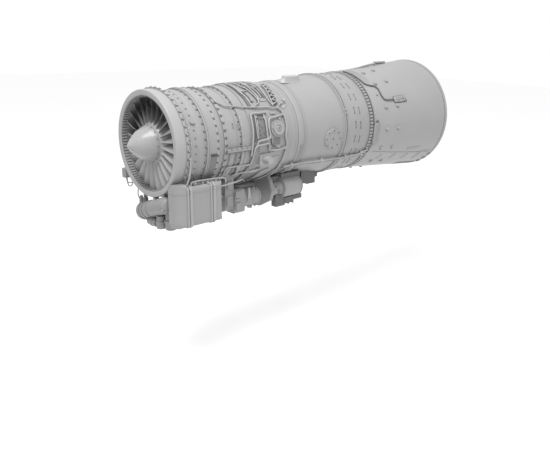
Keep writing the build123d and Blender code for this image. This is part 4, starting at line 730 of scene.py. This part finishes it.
valve = seat(893, 11, BURNER_WALL)
sensor.turned(valve, [(20.5, 12), (20.5, 26.5), (17.5, 29), (9, 29), (8.5, 25.5)], 28)
for turn in (-140, 60, 170):
    sensor.turned(valve @ at(0, 0, 0, "Z", turn) @ at(52, 0, 13.5), [(6.5, 0), (6.5, 5), (3.5, 7.5)], 8)
boss = seat(898, -9.5, BURNER_SKIN)
sensor.pad(boss, (50, 26), 12.5, 0, 6, 1)
sensor.turned(boss, [(9, 5), (9, 13), (6, 16)], 12)
keep(sensor, "casing_sensors", pipe_finish)
keep(Bench().turned(valve, [(8.2, 24), (8.2, 28.5), (6, 29.2)], 14), "valve_port", dark_shade_finish)
# Thin raised pads in the mid-dark finish: painted shade standing for the shadow in drain grooves.
ring_of(Bench().pad(seat(1150, 0, 396, turn=12), (36, 2.2), 0.8, 0, 1.4), "drain_grooves", 20, mid_shade_finish,
    "burner_casing", first=-40, spread=28)
weld = Bench()
for station, height in ((1040, 1.4), (1092, 1.6)):
    weld.hoop(slab(station - 3, station + 3, BURNER_SKIN, BURNER_WALL + height, 1))
weld.hoop([(1118.5, BURNER_SKIN), (1118.5, 387), (1132, 395.2), (1150, 396.6), (1170.5, 396.6), (1170.5, 386)])
keep(weld, "burner_seams", burner_finish)
# Narrow mid-dark rings at the joints: painted shade in the joint gaps.
joint_line = Bench()
joint_line.hoop(slab(1115.5, 1118.5, BURNER_SKIN, 386.6))
joint_line.hoop(slab(1170, 1173, 386, 397.2))
keep(joint_line, "burner_joint_lines", mid_shade_finish, "burner_casing")


# Turbine casing. A welded cone that opens aft, with two seams, a bolted front flange, a double rear
# flange and a round inspection cover with eight lobes on its side.
turbine_finish = satin("turbine_casing", 0.232, "afterburner_wall", mottle=0.05, rough=0.42, turned=0.12)
dress(turbine_finish, "turbine_case", "afterburner_diffuser", "port_cover", "bleed_valve", "jet_pipe", "joint_band")
TURBINE_GROWTH = 42 / 471


def cone(start, radius, growth):
    """Gives the radius of a conical casing's outer face at any station."""
    return lambda station: radius + (station - start) * growth


turbine_wall = cone(1163, BURNER_WALL + 1, TURBINE_GROWTH)
turbine_seams = Bench()
for station in (1200, 1212):
    wall = turbine_wall(station)
    turbine_seams.hoop(slab(station - 3, station + 3, wall - 1, wall + 1.4, 1))
turbine_seams.hoop([(1602, 424), (1605, 437.5), (1607, 438.4), (1629, 438.4), (1631, 437.2), (1631, 424)])
turbine_seams.hoop([(1635, 425), (1635, 436.8), (1648, 435.2), (1651, 434), (1651, 425)])
keep(turbine_seams, "turbine_seams", turbine_finish)
# Dark rings at the rear flange's steps: painted shadow cast by the flange edges.
flange_shadow_lines = Bench()
for station, length in ((1607, 2.8), (1628, 2.8), (1634.5, 2)):
    flange_shadow_lines.hoop(slab(station, station + length, 430, 438.9))
keep(flange_shadow_lines, "rear_flange_shadow_lines", dark_shade_finish, "afterburner_wall")
cover = seat(1483, -9, turbine_wall(1483), slope=math.atan(TURBINE_GROWTH))
cover_plate = Bench()
levels = []
for inset, height in ((0, -12), (0, 7.5), (1.8, 9.5), (18, 10), (20, 8.2), (48, 8.2), (50, 10.5), (72, 10.8)):
    ring = []
    for step in range(96):
        a = 2 * math.pi * step / 96
        reach = 81.5 + 4.5 * abs(math.cos(4 * a)) ** 0.6 * (1 if inset < 18 else 0) - inset
        ring.append(cover @ Vector((reach * math.cos(a), reach * math.sin(a), height)))
    levels.append(ring)
cover_plate.loft(levels)
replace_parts(keep(cover_plate, "port_cover_plate", turbine_finish), "port_cover")
cover_bolts = Bench()
for number in range(8):
    cover_bolts.turned(cover @ at(0, 0, 0, "Z", 45 * number) @ at(73.5, 0, 9), [(5.8, 0), (5.8, 4), (3.5, 6.2)], 8)
cover_bolts.turned(cover, [(7.5, 10), (7.5, 12.5), (4, 13.5)], 12)
keep(cover_bolts, "port_cover_bolts", dark_shade_finish)
clamp = Bench()
latch = seat(1634, 20, 436.5)
clamp.pad(latch, (20, 52), 4, -1, 6, 1.5)
for y in (14, -14):
    clamp.pad(latch @ at(0, y, 0), (30, 12), 3, 4, 10, 1)
keep(clamp, "flange_latch", pipe_finish)
tubes("flange_latch_bolt", [course((1634, 22.6, 445.5), (1634, 17.4, 445.5))], 3, 1, dark_shade_finish, 8)
lug_pad = Bench()
lug_pad.pad(seat(1296, 78, 438.5), (165, 44), 21.5, 0, 6.5, 2)
pad_seat = seat(1300, 78, 395)
lug_pad.loft([[pad_seat @ Vector((x, y, height)) for x, y in rounded(long, wide, wide / 2 - 2)]
    for long, wide, height in ((230, 74, 0), (200, 60, 10), (176, 50, 36), (166, 44, 44.5))])
keep(lug_pad, "hoist_lug_pads", highlight_finish, "fitting_alloy")


# Afterburner diffuser. A sheet drum with two rows of short pressed stiffeners and a ring of clamp
# pads with toothed ends where the afterburner is joined on.
DASHES = 22
DASH_REACH = 3.4
diffuser_wall = cone(1634, 430, 6 / 287)
# The dashes and their end dots take the dark finish: painted shade along the pressed stiffeners.
for station, first in ((1750, 69.5), (1811, 68.5)):
    dash, dots = Bench(), Bench()
    wall = diffuser_wall(station)
    dash.hoop(slab(station - 2.4, station + 2.4, wall - 2, wall + 1.8, 0.4), -DASH_REACH, DASH_REACH)
    for angle in (-DASH_REACH, DASH_REACH):
        dots.pad(seat(station, angle, wall - 0.8), (10, 12), 4, 0, 4, 1)
    ring_of(dash, f"wall_dashes_{station}", DASHES, dark_shade_finish, "afterburner_wall", first=first)
    ring_of(dots, f"wall_dash_ends_{station}", DASHES, dark_shade_finish, "afterburner_wall", first=first)
diffuser_bands = Bench()
for start, end, height in ((1672, 1700, 1.4), (1782, 1786, 1.8), (1846, 1874, 1.8), (1896, 1902, 2.2)):
    wall = diffuser_wall((start + end) / 2)
    diffuser_bands.hoop(slab(start, end, wall - 2, wall + height, 2))
keep(diffuser_bands, "diffuser_bands", turbine_finish)
shroud_finish = satin("shroud_sheet", 0.246, "shroud_sheet", mottle=0.035, rough=0.40, grain=500.0, depth=0.0001)
PADS = 96
ring_of(Bench().pad(seat(1950, 0, 440.5), (36, 16.5), 5, 0, 4.6, 1.5), "joint_clamp_pads", PADS, shroud_finish,
    "afterburner_wall")
# Dark ring under the clamp pads: painted shade between them.
keep(Bench().hoop([(1924, 438), (1924, 441.8), (1975, 441.8), (1975, 444), (1980.5, 444), (1980.5, 438)]),
    "joint_clamp_floor", dark_shade_finish, "afterburner_wall")
# Teeth in the lighter finish: painted highlight.
ring_of(Bench().pad(seat(1990, 0, 438.8), (10, 8), 2, 0, 6.2, 1), "joint_teeth", 2 * PADS, highlight_finish,
    "afterburner_wall")


# Nozzle shroud. One rolled sheet cone with a rounded rear lip, rows of domed mounting bosses, a rail
# and raised oval pad on top, a blister, a pipe bracket and scalloped fairing panels low on the side.
dress(shroud_finish, "nozzle_shroud")
SHROUD_START = 1985
SHROUD_GROWTH = 91 / 1015
SHROUD_SLOPE = math.atan(SHROUD_GROWTH)
shroud_wall = cone(SHROUD_START, 441, SHROUD_GROWTH)


def shroud_seat(station, angle, lift=0.0, turn=0.0):
    """Place on the shroud's sloping face."""
    return seat(station, angle, shroud_wall(station) + lift, turn, SHROUD_SLOPE)


# Each boss stands on a mid-dark disc set a little aft of it and lower: painted shadow below the boss.
bosses, boss_shadows = Bench(), Bench()
for station, angles in (
    (2148, (71, 50, 19.7, -4.8, -28.8, -52, -86, -106, -121, -144, -167, 170, 147, 124)),
    (2298, (73, 51, 20, -5, -29, -53, -86, -106, -122, -145, -168, 169, 146, 123)),
):
    for angle in angles:
        place = shroud_seat(station, angle, -1.2)
        bosses.turned(place, [(24, 0), (24, 2.2), (15.5, 3.2), (15.5, 11), (12.5, 16), (7, 17.5)], 14)
        boss_shadows.turned(place @ at(2, -5, 0), [(18, 0), (18, 5), (14.5, 6.6)], 14)
keep(bosses, "shroud_bosses", shroud_finish)
keep(boss_shadows, "shroud_boss_painted_shadows", mid_shade_finish)
# The lip takes the lighter finish as painted highlight; the dark ring ahead of it is painted shade, and the dark
# strip low on the side is painted shade on the shroud's underside.
keep(Bench().hoop([(2988, 526.2), (2984, 530), (2988, 530.9), (2996, 531.2), (2999.5, 530), (2999.9, 527.5),
    (2996, 526.2)]), "shroud_lip", highlight_finish, "shroud_sheet")
keep(Bench().hoop([(2958, 526.5), (2958, 529.2), (2962.5, 529.8), (2962.5, 526.5)]), "shroud_lip_line", dark_shade_finish,
    "shroud_sheet")
keep(Bench().hoop([(2640, 498), (2640, 501), (2930, 527.5), (2930, 524)], first=-64, last=-80), "shroud_lower_painted_shade",
    dark_pipe_and_shade_finish, "shroud_sheet")
ring_of(Bench().pad(shroud_seat(2060, 0, -3.5), (94, 10), 4.5, 0, 5.8, 1.4), "front_corrugations", 26,
    shroud_finish, first=54, spread=58)
shade_finish = satin("shroud_shade", 0.205, "shroud_sheet", mottle=0.04, rough=0.42)
panels = Bench()
for station, angle, long, wide, turn in ((2200, -44.5, 30, 75, -24), (2400, -45, 36, 80, -24),
        (2585, -47, 42, 90, -22), (2775, -48.5, 46, 95, -22), (2620, -33, 190, 30, 4), (2840, -40, 150, 34, 6)):
    panels.pad(shroud_seat(station, angle, -1.2, turn), (long, wide), 12, 0, 2.8, 1)
keep(panels, "fairing_panels", shade_finish)
tubes("fairing_ledge", [course((2060, -33.5, 447.5), (2300, -37, 469.5), (2560, -39.5, 493), (2900, -42, 523.5))],
    3.5, 20, shade_finish, 8)
rim_hinges = Bench()
for station, angle in ((2962, -46.5), (2955, -54), (2950, -62), (2962, 226.5), (2955, 234)):
    rim_hinges.pad(seat(station, angle, 527), (38, 30), 6, 0, 11, 3)
keep(rim_hinges, "rim_hinge_lugs", shade_finish)
blister = Bench()
blister_seat = seat(2018, -10, shroud_wall(2018), turn=4)
blister.loft([[blister_seat @ Vector((x * wide, y * wide, tall)) for x, y in rounded(70, 215, 34, 6)]
    for wide, tall in ((1, -3), (0.97, 3), (0.84, 8), (0.60, 11), (0.25, 12.2))])
keep(blister, "side_blister", shade_finish)
blister_rivets = Bench()
for number in range(9):
    blister_rivets.turned(seat(2062 - 3 * number, 2 - 3 * number, shroud_wall(2058) - 0.6),
        [(3, 0), (3, 1.8), (1.5, 2.4)], 6)
blister_rivets.turned(seat(2022, 4.5, shroud_wall(2022) - 1), [(12.5, 0), (12.5, 10), (8, 14)], 12)
blister_rivets.turned(seat(2092, 34.5, shroud_wall(2092) - 1), [(8.5, 0), (8.5, 3), (5, 5)], 12)
keep(blister_rivets, "blister_rivets", dark_shade_finish)
bracket = shroud_seat(2354, 26.4)
# Dark pad wider than the plate, and its dark studs: painted shadow round and under the bracket plate.
bracket_painted_shadow = Bench()
bracket_painted_shadow.pad(bracket, (176, 66), 20, -3, 3)
for x, y in ((-40, 8), (20, 14), (52, -4)):
    bracket_painted_shadow.turned(bracket @ at(x, y, 0), [(6.2, 0), (6.2, 23.5), (4, 24.5)], 8)
keep(bracket_painted_shadow, "bracket_painted_shadow", dark_shade_finish)
fittings = Bench()
fittings.pad(bracket @ at(0, 2, 0), (162, 52), 14, 0, 10.5, 2)
for x, y in ((-36, 6), (22, 12)):
    fittings.pad(bracket @ at(x, y, 0, "Z", 24), (44, 24), 10, 9, 22.5, 3)
fittings.turned(bracket @ at(52, -4, 0), [(13, 9), (13, 18), (9, 21)], 12)
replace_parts(keep(fittings, "bracket_plate", shroud_finish), "jack_bracket")
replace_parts(tubes("jack_feed_pipe", [course((1988, 84, 448), (1996, 72, 449), (2008, 58, 450), (2018, 51, 451.5),
    (2062, 48, 455.5), (2114, 46, 460.5), (2134, 42, 462), (2134, 33, 462), (2150, 28, 464), (2194, 27, 468),
    (2268, 26.7, 474.5))], 6.2, 24, dark_pipe_and_shade_finish), "jack_pipe")
tubes("joint_cable", [course((1992, -6, 446), (2000, -16, 446.5), (2008, -25, 447), (1992, -33, 447),
    (1946, -36, 449), (1900, -37, 442))], 3.6, 20, highlight_finish, 8, "fitting_alloy")
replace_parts(tubes("top_rail_tube", [course((1994, 90.5, 440.5), (2040, 90.5, 442.5), (2128, 90.5, 450.5),
    (2252, 90.5, 467.5), (2424, 90.5, 495), (2475, 90.5, 499), (2510, 90.5, 489))], 8.5, 20, shroud_finish, 12),
    "top_rail")
oval_pad = Bench()
top = seat(2612, 95, shroud_wall(2612) - 1)
oval_pad.pad(top, (118, 40), 19, 0, 12, 1)
oval_pad.pad(top, (150, 62), 30, 10, 25, 4)
keep(oval_pad, "top_pad", shroud_finish)
side_pad = Bench()
for station, angle in ((1290, 180), (2612, 265)):
    wall = shroud_wall if station > SHROUD_START else turbine_wall
    side_pad.pad(seat(station, angle, wall(station) - 1), (110, 60), 12, 0, 7, 2)
keep(side_pad, "lower_pads", shroud_finish)
clip = Bench()
for station, angle, reach in ((1096, -37.3, 410), (1406, -34.7, 435), (1680, -33.7, 449.8), (1880, -31.5, 453)):
    clip.pad(seat(station, angle, reach - 13), (12, 38), 4, 0, 28.5, 3)
keep(clip, "long_pipe_clips", highlight_finish, "fitting_alloy")
# Dark thin tube below the long pipe: painted shadow of the pipe.
tubes("long_pipe_painted_shadow", [course((1010, -40.4, 404), (1190, -38.9, 406), (1340, -37.3, 425.5), (1600, -36.2, 443.5),
    (1850, -35.2, 447), (1925, -32, 449))], 4.6, 30, dark_pipe_and_shade_finish, 8)
dress(pipe_finish, "bleed_pipe", "jack_pipe", "hoist_lug", "trunnions", "filler_cap", "throttle_lever")


# Nozzle. Twelve hinged flaps of heat-stained alloy sheet, closed by a ring that slides over their
# cams on four rods from the hydraulic jacks; each flap has raised edges inside.
flap_finish = satin("flap_alloy", 0.189, mottle=0.10, rough=0.40, metal=0.35, warm=0.02)
dress(flap_finish, *[f"nozzle_flap_{number:02d}" for number in range(1, 13)])
dress(hot_finish, "hinge_ring")
dress(shaft_finish, "control_ring", "jack_rods", "nozzle_jacks")


# Oil tank. A pressed and welded light-alloy box on the lower flank with a seam below its top, two
# double-ridged straps with tension bolts, a sunk filler and small unions on top.
tank_finish = satin("tank_paint", 0.215, "tank_paint", mottle=0.03, rough=0.42, grain=520.0, depth=0.00014)
strap_finish = satin("strap_steel", 0.205, mottle=0.06, rough=0.36)
dress(tank_finish, "oil_tank")
dress(strap_finish, "tank_straps")
TANK_WEST, TANK_EAST, TANK_TOP, TANK_BOTTOM = 275, 385, -255, -545
STRAP_LIFT = 4.3
TANK_X, TANK_Y, TANK_Z = (TANK_WEST + TANK_EAST) / 2, 178.5, (TANK_TOP + TANK_BOTTOM) / 2


def tank_band(bench, start, length, proud, corner):
    """Band round the tank above its strap, its edges rounded."""
    rings = []
    for out, y in ((0, 0), (proud * 0.7, 0.8), (proud, corner), (proud, length - corner),
            (proud * 0.7, length - 0.8), (0, length), (-4.5, length), (-4.5, 0)):
        grown = 2 * (STRAP_LIFT + out)
        outline = rounded(TANK_EAST - TANK_WEST + grown, TANK_TOP - TANK_BOTTOM + grown, 30 + out, 6)
        rings.append([(TANK_X + x, start + y, TANK_Z + z) for x, z in outline])
    bench.loft(rings, closed=True)


strap_ridges, strap_grooves = Bench(), Bench()
for strap in (76, 270):
    tank_band(strap_ridges, strap - 8, 12, 3, 4)
    tank_band(strap_grooves, strap + 4.2, 7.6, 0.4, 1)
    tank_band(strap_ridges, strap + 12, 21, 4.5, 6)
ridge_finish = satin("strap_ridge", 0.250, "strap_steel", mottle=0.05, rough=0.34)
keep(strap_ridges, "strap_ridges", ridge_finish)
# Grooves beside the strap ridges take the mid-dark finish: painted shade in the grooves.
keep(strap_grooves, "strap_grooves", mid_shade_finish, "strap_steel")
tank_plan = [(TANK_WEST, 369), (TANK_WEST, -12)]
for corner, y, first, steps in ((70, 58, -90, 8), (24, 345, 0, 4)):
    for step in range(steps + 1):
        a = math.radians(first + 90 * step / steps)
        tank_plan.append((TANK_EAST - corner + corner * math.cos(a), y + corner * math.sin(a)))
tank_seams = Bench()
for z in (-300, -522):
    levels = []
    for out, dz in ((-1, -2.8), (2.2, -1.8), (2.2, 1.8), (-1, 2.8)):
        wide, long = 1 + out / 55, 1 + out / 190
        levels.append([(TANK_X + (x - TANK_X) * wide, TANK_Y + (y - TANK_Y) * long, z + dz) for x, y in tank_plan])
    tank_seams.loft(levels)
keep(tank_seams, "tank_seams", tank_finish)
tank_top = Bench()
for x, y, size, height in ((350, 124, 11, 12), (326, 206, 10, 18), (352, 222, 11, 14), (330, 240, 9, 12),
        (372, 250, 9, 14), (352, 330, 12, 10)):
    sunk = abs(x - 338) < 25 and y < 248
    spot = at(x, y, TANK_TOP - (8 if sunk else 1))
    tank_top.turned(spot, [(1, 0), (1, 4), (0.75, 5), (0.75, height), (0.4, height + 3)], 10, size)
keep(tank_top, "tank_top_unions", pipe_finish)
strap_bolts = Bench()
for y in (87, 285):
    for z in (-300, -278):
        strap_bolts.nut(at(TANK_EAST + 2, y, z, "Y", 90), 8, 6)
keep(strap_bolts, "strap_bolts", dark_shade_finish)
tubes("tank_pipes", [
    [(350, 124, -252), (350, 128, -236), (352, 180, -230), (358, 380, -236), (360, 412, -244), (360, 416, -276)],
    [(326, 206, -248), (330, 210, -240), (352, 222, -240), (352, 222, -252)],
    [(350, 366, -300), (356, 410, -298), (350, 520, -292), (318, 600, -290)],
    [(372, 78, -236), (386, 90, -190), (392, 100, -110), (388, 102, -50)],
], 5.8, 14, pipe_finish, 10)


# Oil cooler and the cluster below the inlet. A can with collars and an end fitting lies across the
# front; small pumps, elbows and thin loops of pipe hang around it.
cooler_finish = satin("accessory_casting", 0.188, "accessory_casting", mottle=0.08, rough=0.46, grain=420.0,
    depth=0.00035)
dress(cooler_finish, "oil_cooler", "gearbox", "fuel_pump", "fuel_filter")
# Very dark finish on the afterburner pump and fuel controls: painted shade, as they sit in the shadow under the
# engine.
shaded_unit_finish = satin("pump_casting_painted_shade", 0.090, "accessory_casting", mottle=0.10, rough=0.5, grain=420.0, depth=0.0003)
dress(shaded_unit_finish, "afterburner_pump", "fuel_controls")
cooler_trim = Bench()
COOLER_TILT = 18.9
across = at(70, 20, -453.5, "Y", 90 - COOLER_TILT)
for x, radius, width in ((-172, 68, 16), (-118, 66.5, 8), (-60, 65.5, 12), (-44, 63.8, 4), (132, 63.2, 4)):
    cooler_trim.collar(across, x, radius, width, 10, 1, 48)
cooler_trim.turned(across @ at(10, 0, 184), [(15, 0), (15, 10), (10, 12), (10, 18), (5, 22)], 12)
cooler_trim.turned(across @ at(0, 0, -206), [(40, 0), (52, 4), (52, 17)], 24)
cooler_trim.turned(across @ at(0, 0, 0, "Z", -60) @ at(58, 0, 160, "Y", 90), [(11, -10), (11, 10), (7, 14)], 10)
keep(cooler_trim, "cooler_trim", cooler_finish)
tubes("cooler_pipes", [
    [across @ Vector(p) for p in ((10, 0, 200), (10, -4, 212), (40, -8, 218), (110, -10, 190))],
    [across @ Vector(p) for p in ((0, 0, -200), (0, 0, -222), (-40, 0, -228), (-70, 0, -214))],
], 5.6, 18, pipe_finish, 10)
front_pumps = Bench()
front_pumps.turned(at(0, 14, -563, "Y", 90), [(18, -16), (30, -14), (34, -6), (34, 30), (36.5, 34), (36.5, 44),
    (31, 48), (31, 88)], 28)
for x, y, r, low, high in ((122, 20, 36, -599, -500), (196, 52, 42, -598, -470), (262, 60, 26, -560, -400)):
    tall = high - low
    profile = [(0.55, 0), (0.86, 4), (1, 14), (1, tall * 0.42), (1.1, tall * 0.46), (1.1, tall * 0.58),
        (0.9, tall * 0.62), (0.9, tall)]
    front_pumps.turned(at(x, y, low), profile, 24, r)
front_pumps.pad(at(110, 98, -585), (300, 60), 18, 0, 150, 3)
front_pumps.pad(at(-332, 26, -300), (50, 56), 6, 0, 70, 3)
for x, y, r, low, high in ((-168, 40, 16, -480, -415), (-128, 52, 19, -470, -395), (-78, 50, 14, -585, -520)):
    tall = high - low
    front_pumps.turned(at(x, y, low), [(0.7, 0), (1, 6), (1, tall * 0.6), (0.75, tall * 0.7), (0.75, tall)], 14, r)
keep(front_pumps, "front_pump_cans", cooler_finish)
tubes("front_thin_loops", [
    [(-322, 20, -302), (-320, 20, -345), (-300, 20, -366), (-268, 24, -356), (-262, 34, -318)],
    [(-340, 24, -300), (-336, 24, -330), (-310, 24, -342), (-270, 30, -330)],
    [(-190, 36, -440), (-204, 34, -410), (-196, 34, -368), (-160, 38, -356), (-128, 50, -372), (-128, 52, -400)],
    [(-168, 40, -476), (-188, 36, -500), (-190, 36, -570), (-168, 36, -588), (-140, 40, -560), (-158, 40, -500),
        (-134, 48, -468)],
    [(-78, 50, -580), (-50, 44, -592), (-20, 30, -580), (-4, 20, -566)],
    [(-110, 40, -590), (-116, 40, -560), (-78, 50, -540)],
], 4.2, 14, pipe_finish, 8)


# Gearbox group. Cast housings under the casings with a fuel pump, filter, starter and afterburner
# pump on their pads; covers, plugs, unions and control rods stand on them.
starter_finish = satin("starter_alloy", 0.222, "accessory_casting", mottle=0.03, rough=0.36, turned=0.2)
dress(starter_finish, "starter_generator")
gear_trim = Bench()
for x, y, z, size, high in (
    (283, 582, -412, (56, 46), 9), (283, 586, -505, (60, 48), 12), (283, 584, -458, (30, 40), 6),
    (270, 517, -330, (60, 50), 10), (270, 517, -455, (80, 56), 8),
):
    gear_trim.pad(at(x, y, z, "Y", 90), size, 10, -10, high, 2)
pump_axis = at(205, 0, -470, "X", -90)
for y, radius, width in ((664, 77.5, 14), (742, 77, 8), (806, 77, 10)):
    gear_trim.collar(pump_axis, y, radius, width, 12, 1.5, 40)
for y, angle, size, tall in ((760, -80, 14, 26), (780, -55, 18, 18), (770, 62, 16, 20), (720, -64, 12, 20),
        (815, -42, 10, 10), (800, 52, 12, 12)):
    spot = pump_axis @ at(0, 0, 0, "Z", -angle) @ at(70, 0, y, "Y", 90)
    gear_trim.turned(spot, [(1, 0), (1, 0.45), (0.72, 0.55), (0.72, 0.9), (0.45, 1)], 10, size, tall)
keep(gear_trim, "gearbox_trim", cooler_finish)
starter_axis = at(205, 0, -452, "X", -90)
starter_trim = Bench()
for y, radius, width in ((969, 66, 10), (1067, 90.5, 9), (1257, 90, 7)):
    starter_trim.collar(starter_axis, y, radius, width, 12, 1.5, 48)
for y, angle, size, tall in ((1000, 30, 14, 30), (1020, -14, 14, 38), (1010, 74, 12, 24)):
    spot = starter_axis @ at(0, 0, 0, "Z", -angle) @ at(46, 0, y, "Y", 90)
    starter_trim.turned(spot, [(1, 0), (1, 0.45), (0.7, 0.5), (0.7, 1)], 10, size, tall)
keep(starter_trim, "starter_trim", cooler_finish)
sleeve = Bench()
sleeve.turned(starter_axis, [(70, 1060), (83, 1062), (87, 1068), (87, 1252), (83, 1262), (66, 1264)], 56)
sleeve.turned(starter_axis @ at(0, 0, 975), [(50, 0), (56, 4), (56, 60), (62, 86)], 40)
keep(sleeve, "starter_sleeve", starter_finish)
units = Bench()
for x, y, z, wide, long, tall in ((220, 1045, -598, 60, 90, 105), (220, 1145, -586, 60, 106, 52),
        (214, 1250, -570, 54, 100, 36), (228, 1098, -599, 34, 14, 30), (228, 1150, -598, 34, 12, 30),
        (226, 1200, -598, 34, 14, 34), (168, 1022, -470, 95, 135, 120), (196, 1170, -385, 90, 210, 55)):
    units.pad(at(x, y, z), (wide, long), 6, 0, tall, 3)
units.turned(at(110, 1200, -450, "X", -90), [(50, 0), (62, 6), (62, 120), (56, 138), (40, 146)], 32)
keep(units, "afterburner_pump_blocks", shaded_unit_finish)
tubes("accessory_pipes", [
    [(240, 470, -420), (262, 440, -400), (262, 400, -380), (240, 380, -380)],
    [(60, 900, -470), (60, 860, -430), (80, 700, -400), (100, 620, -392)],
    [(-60, 520, -430), (-140, 560, -420), (-180, 760, -400), (-180, 1000, -380)],
    [(120, 300, -480), (150, 340, -470), (180, 420, -440), (180, 470, -430)],
], 7.5, 22, pipe_finish, 10)
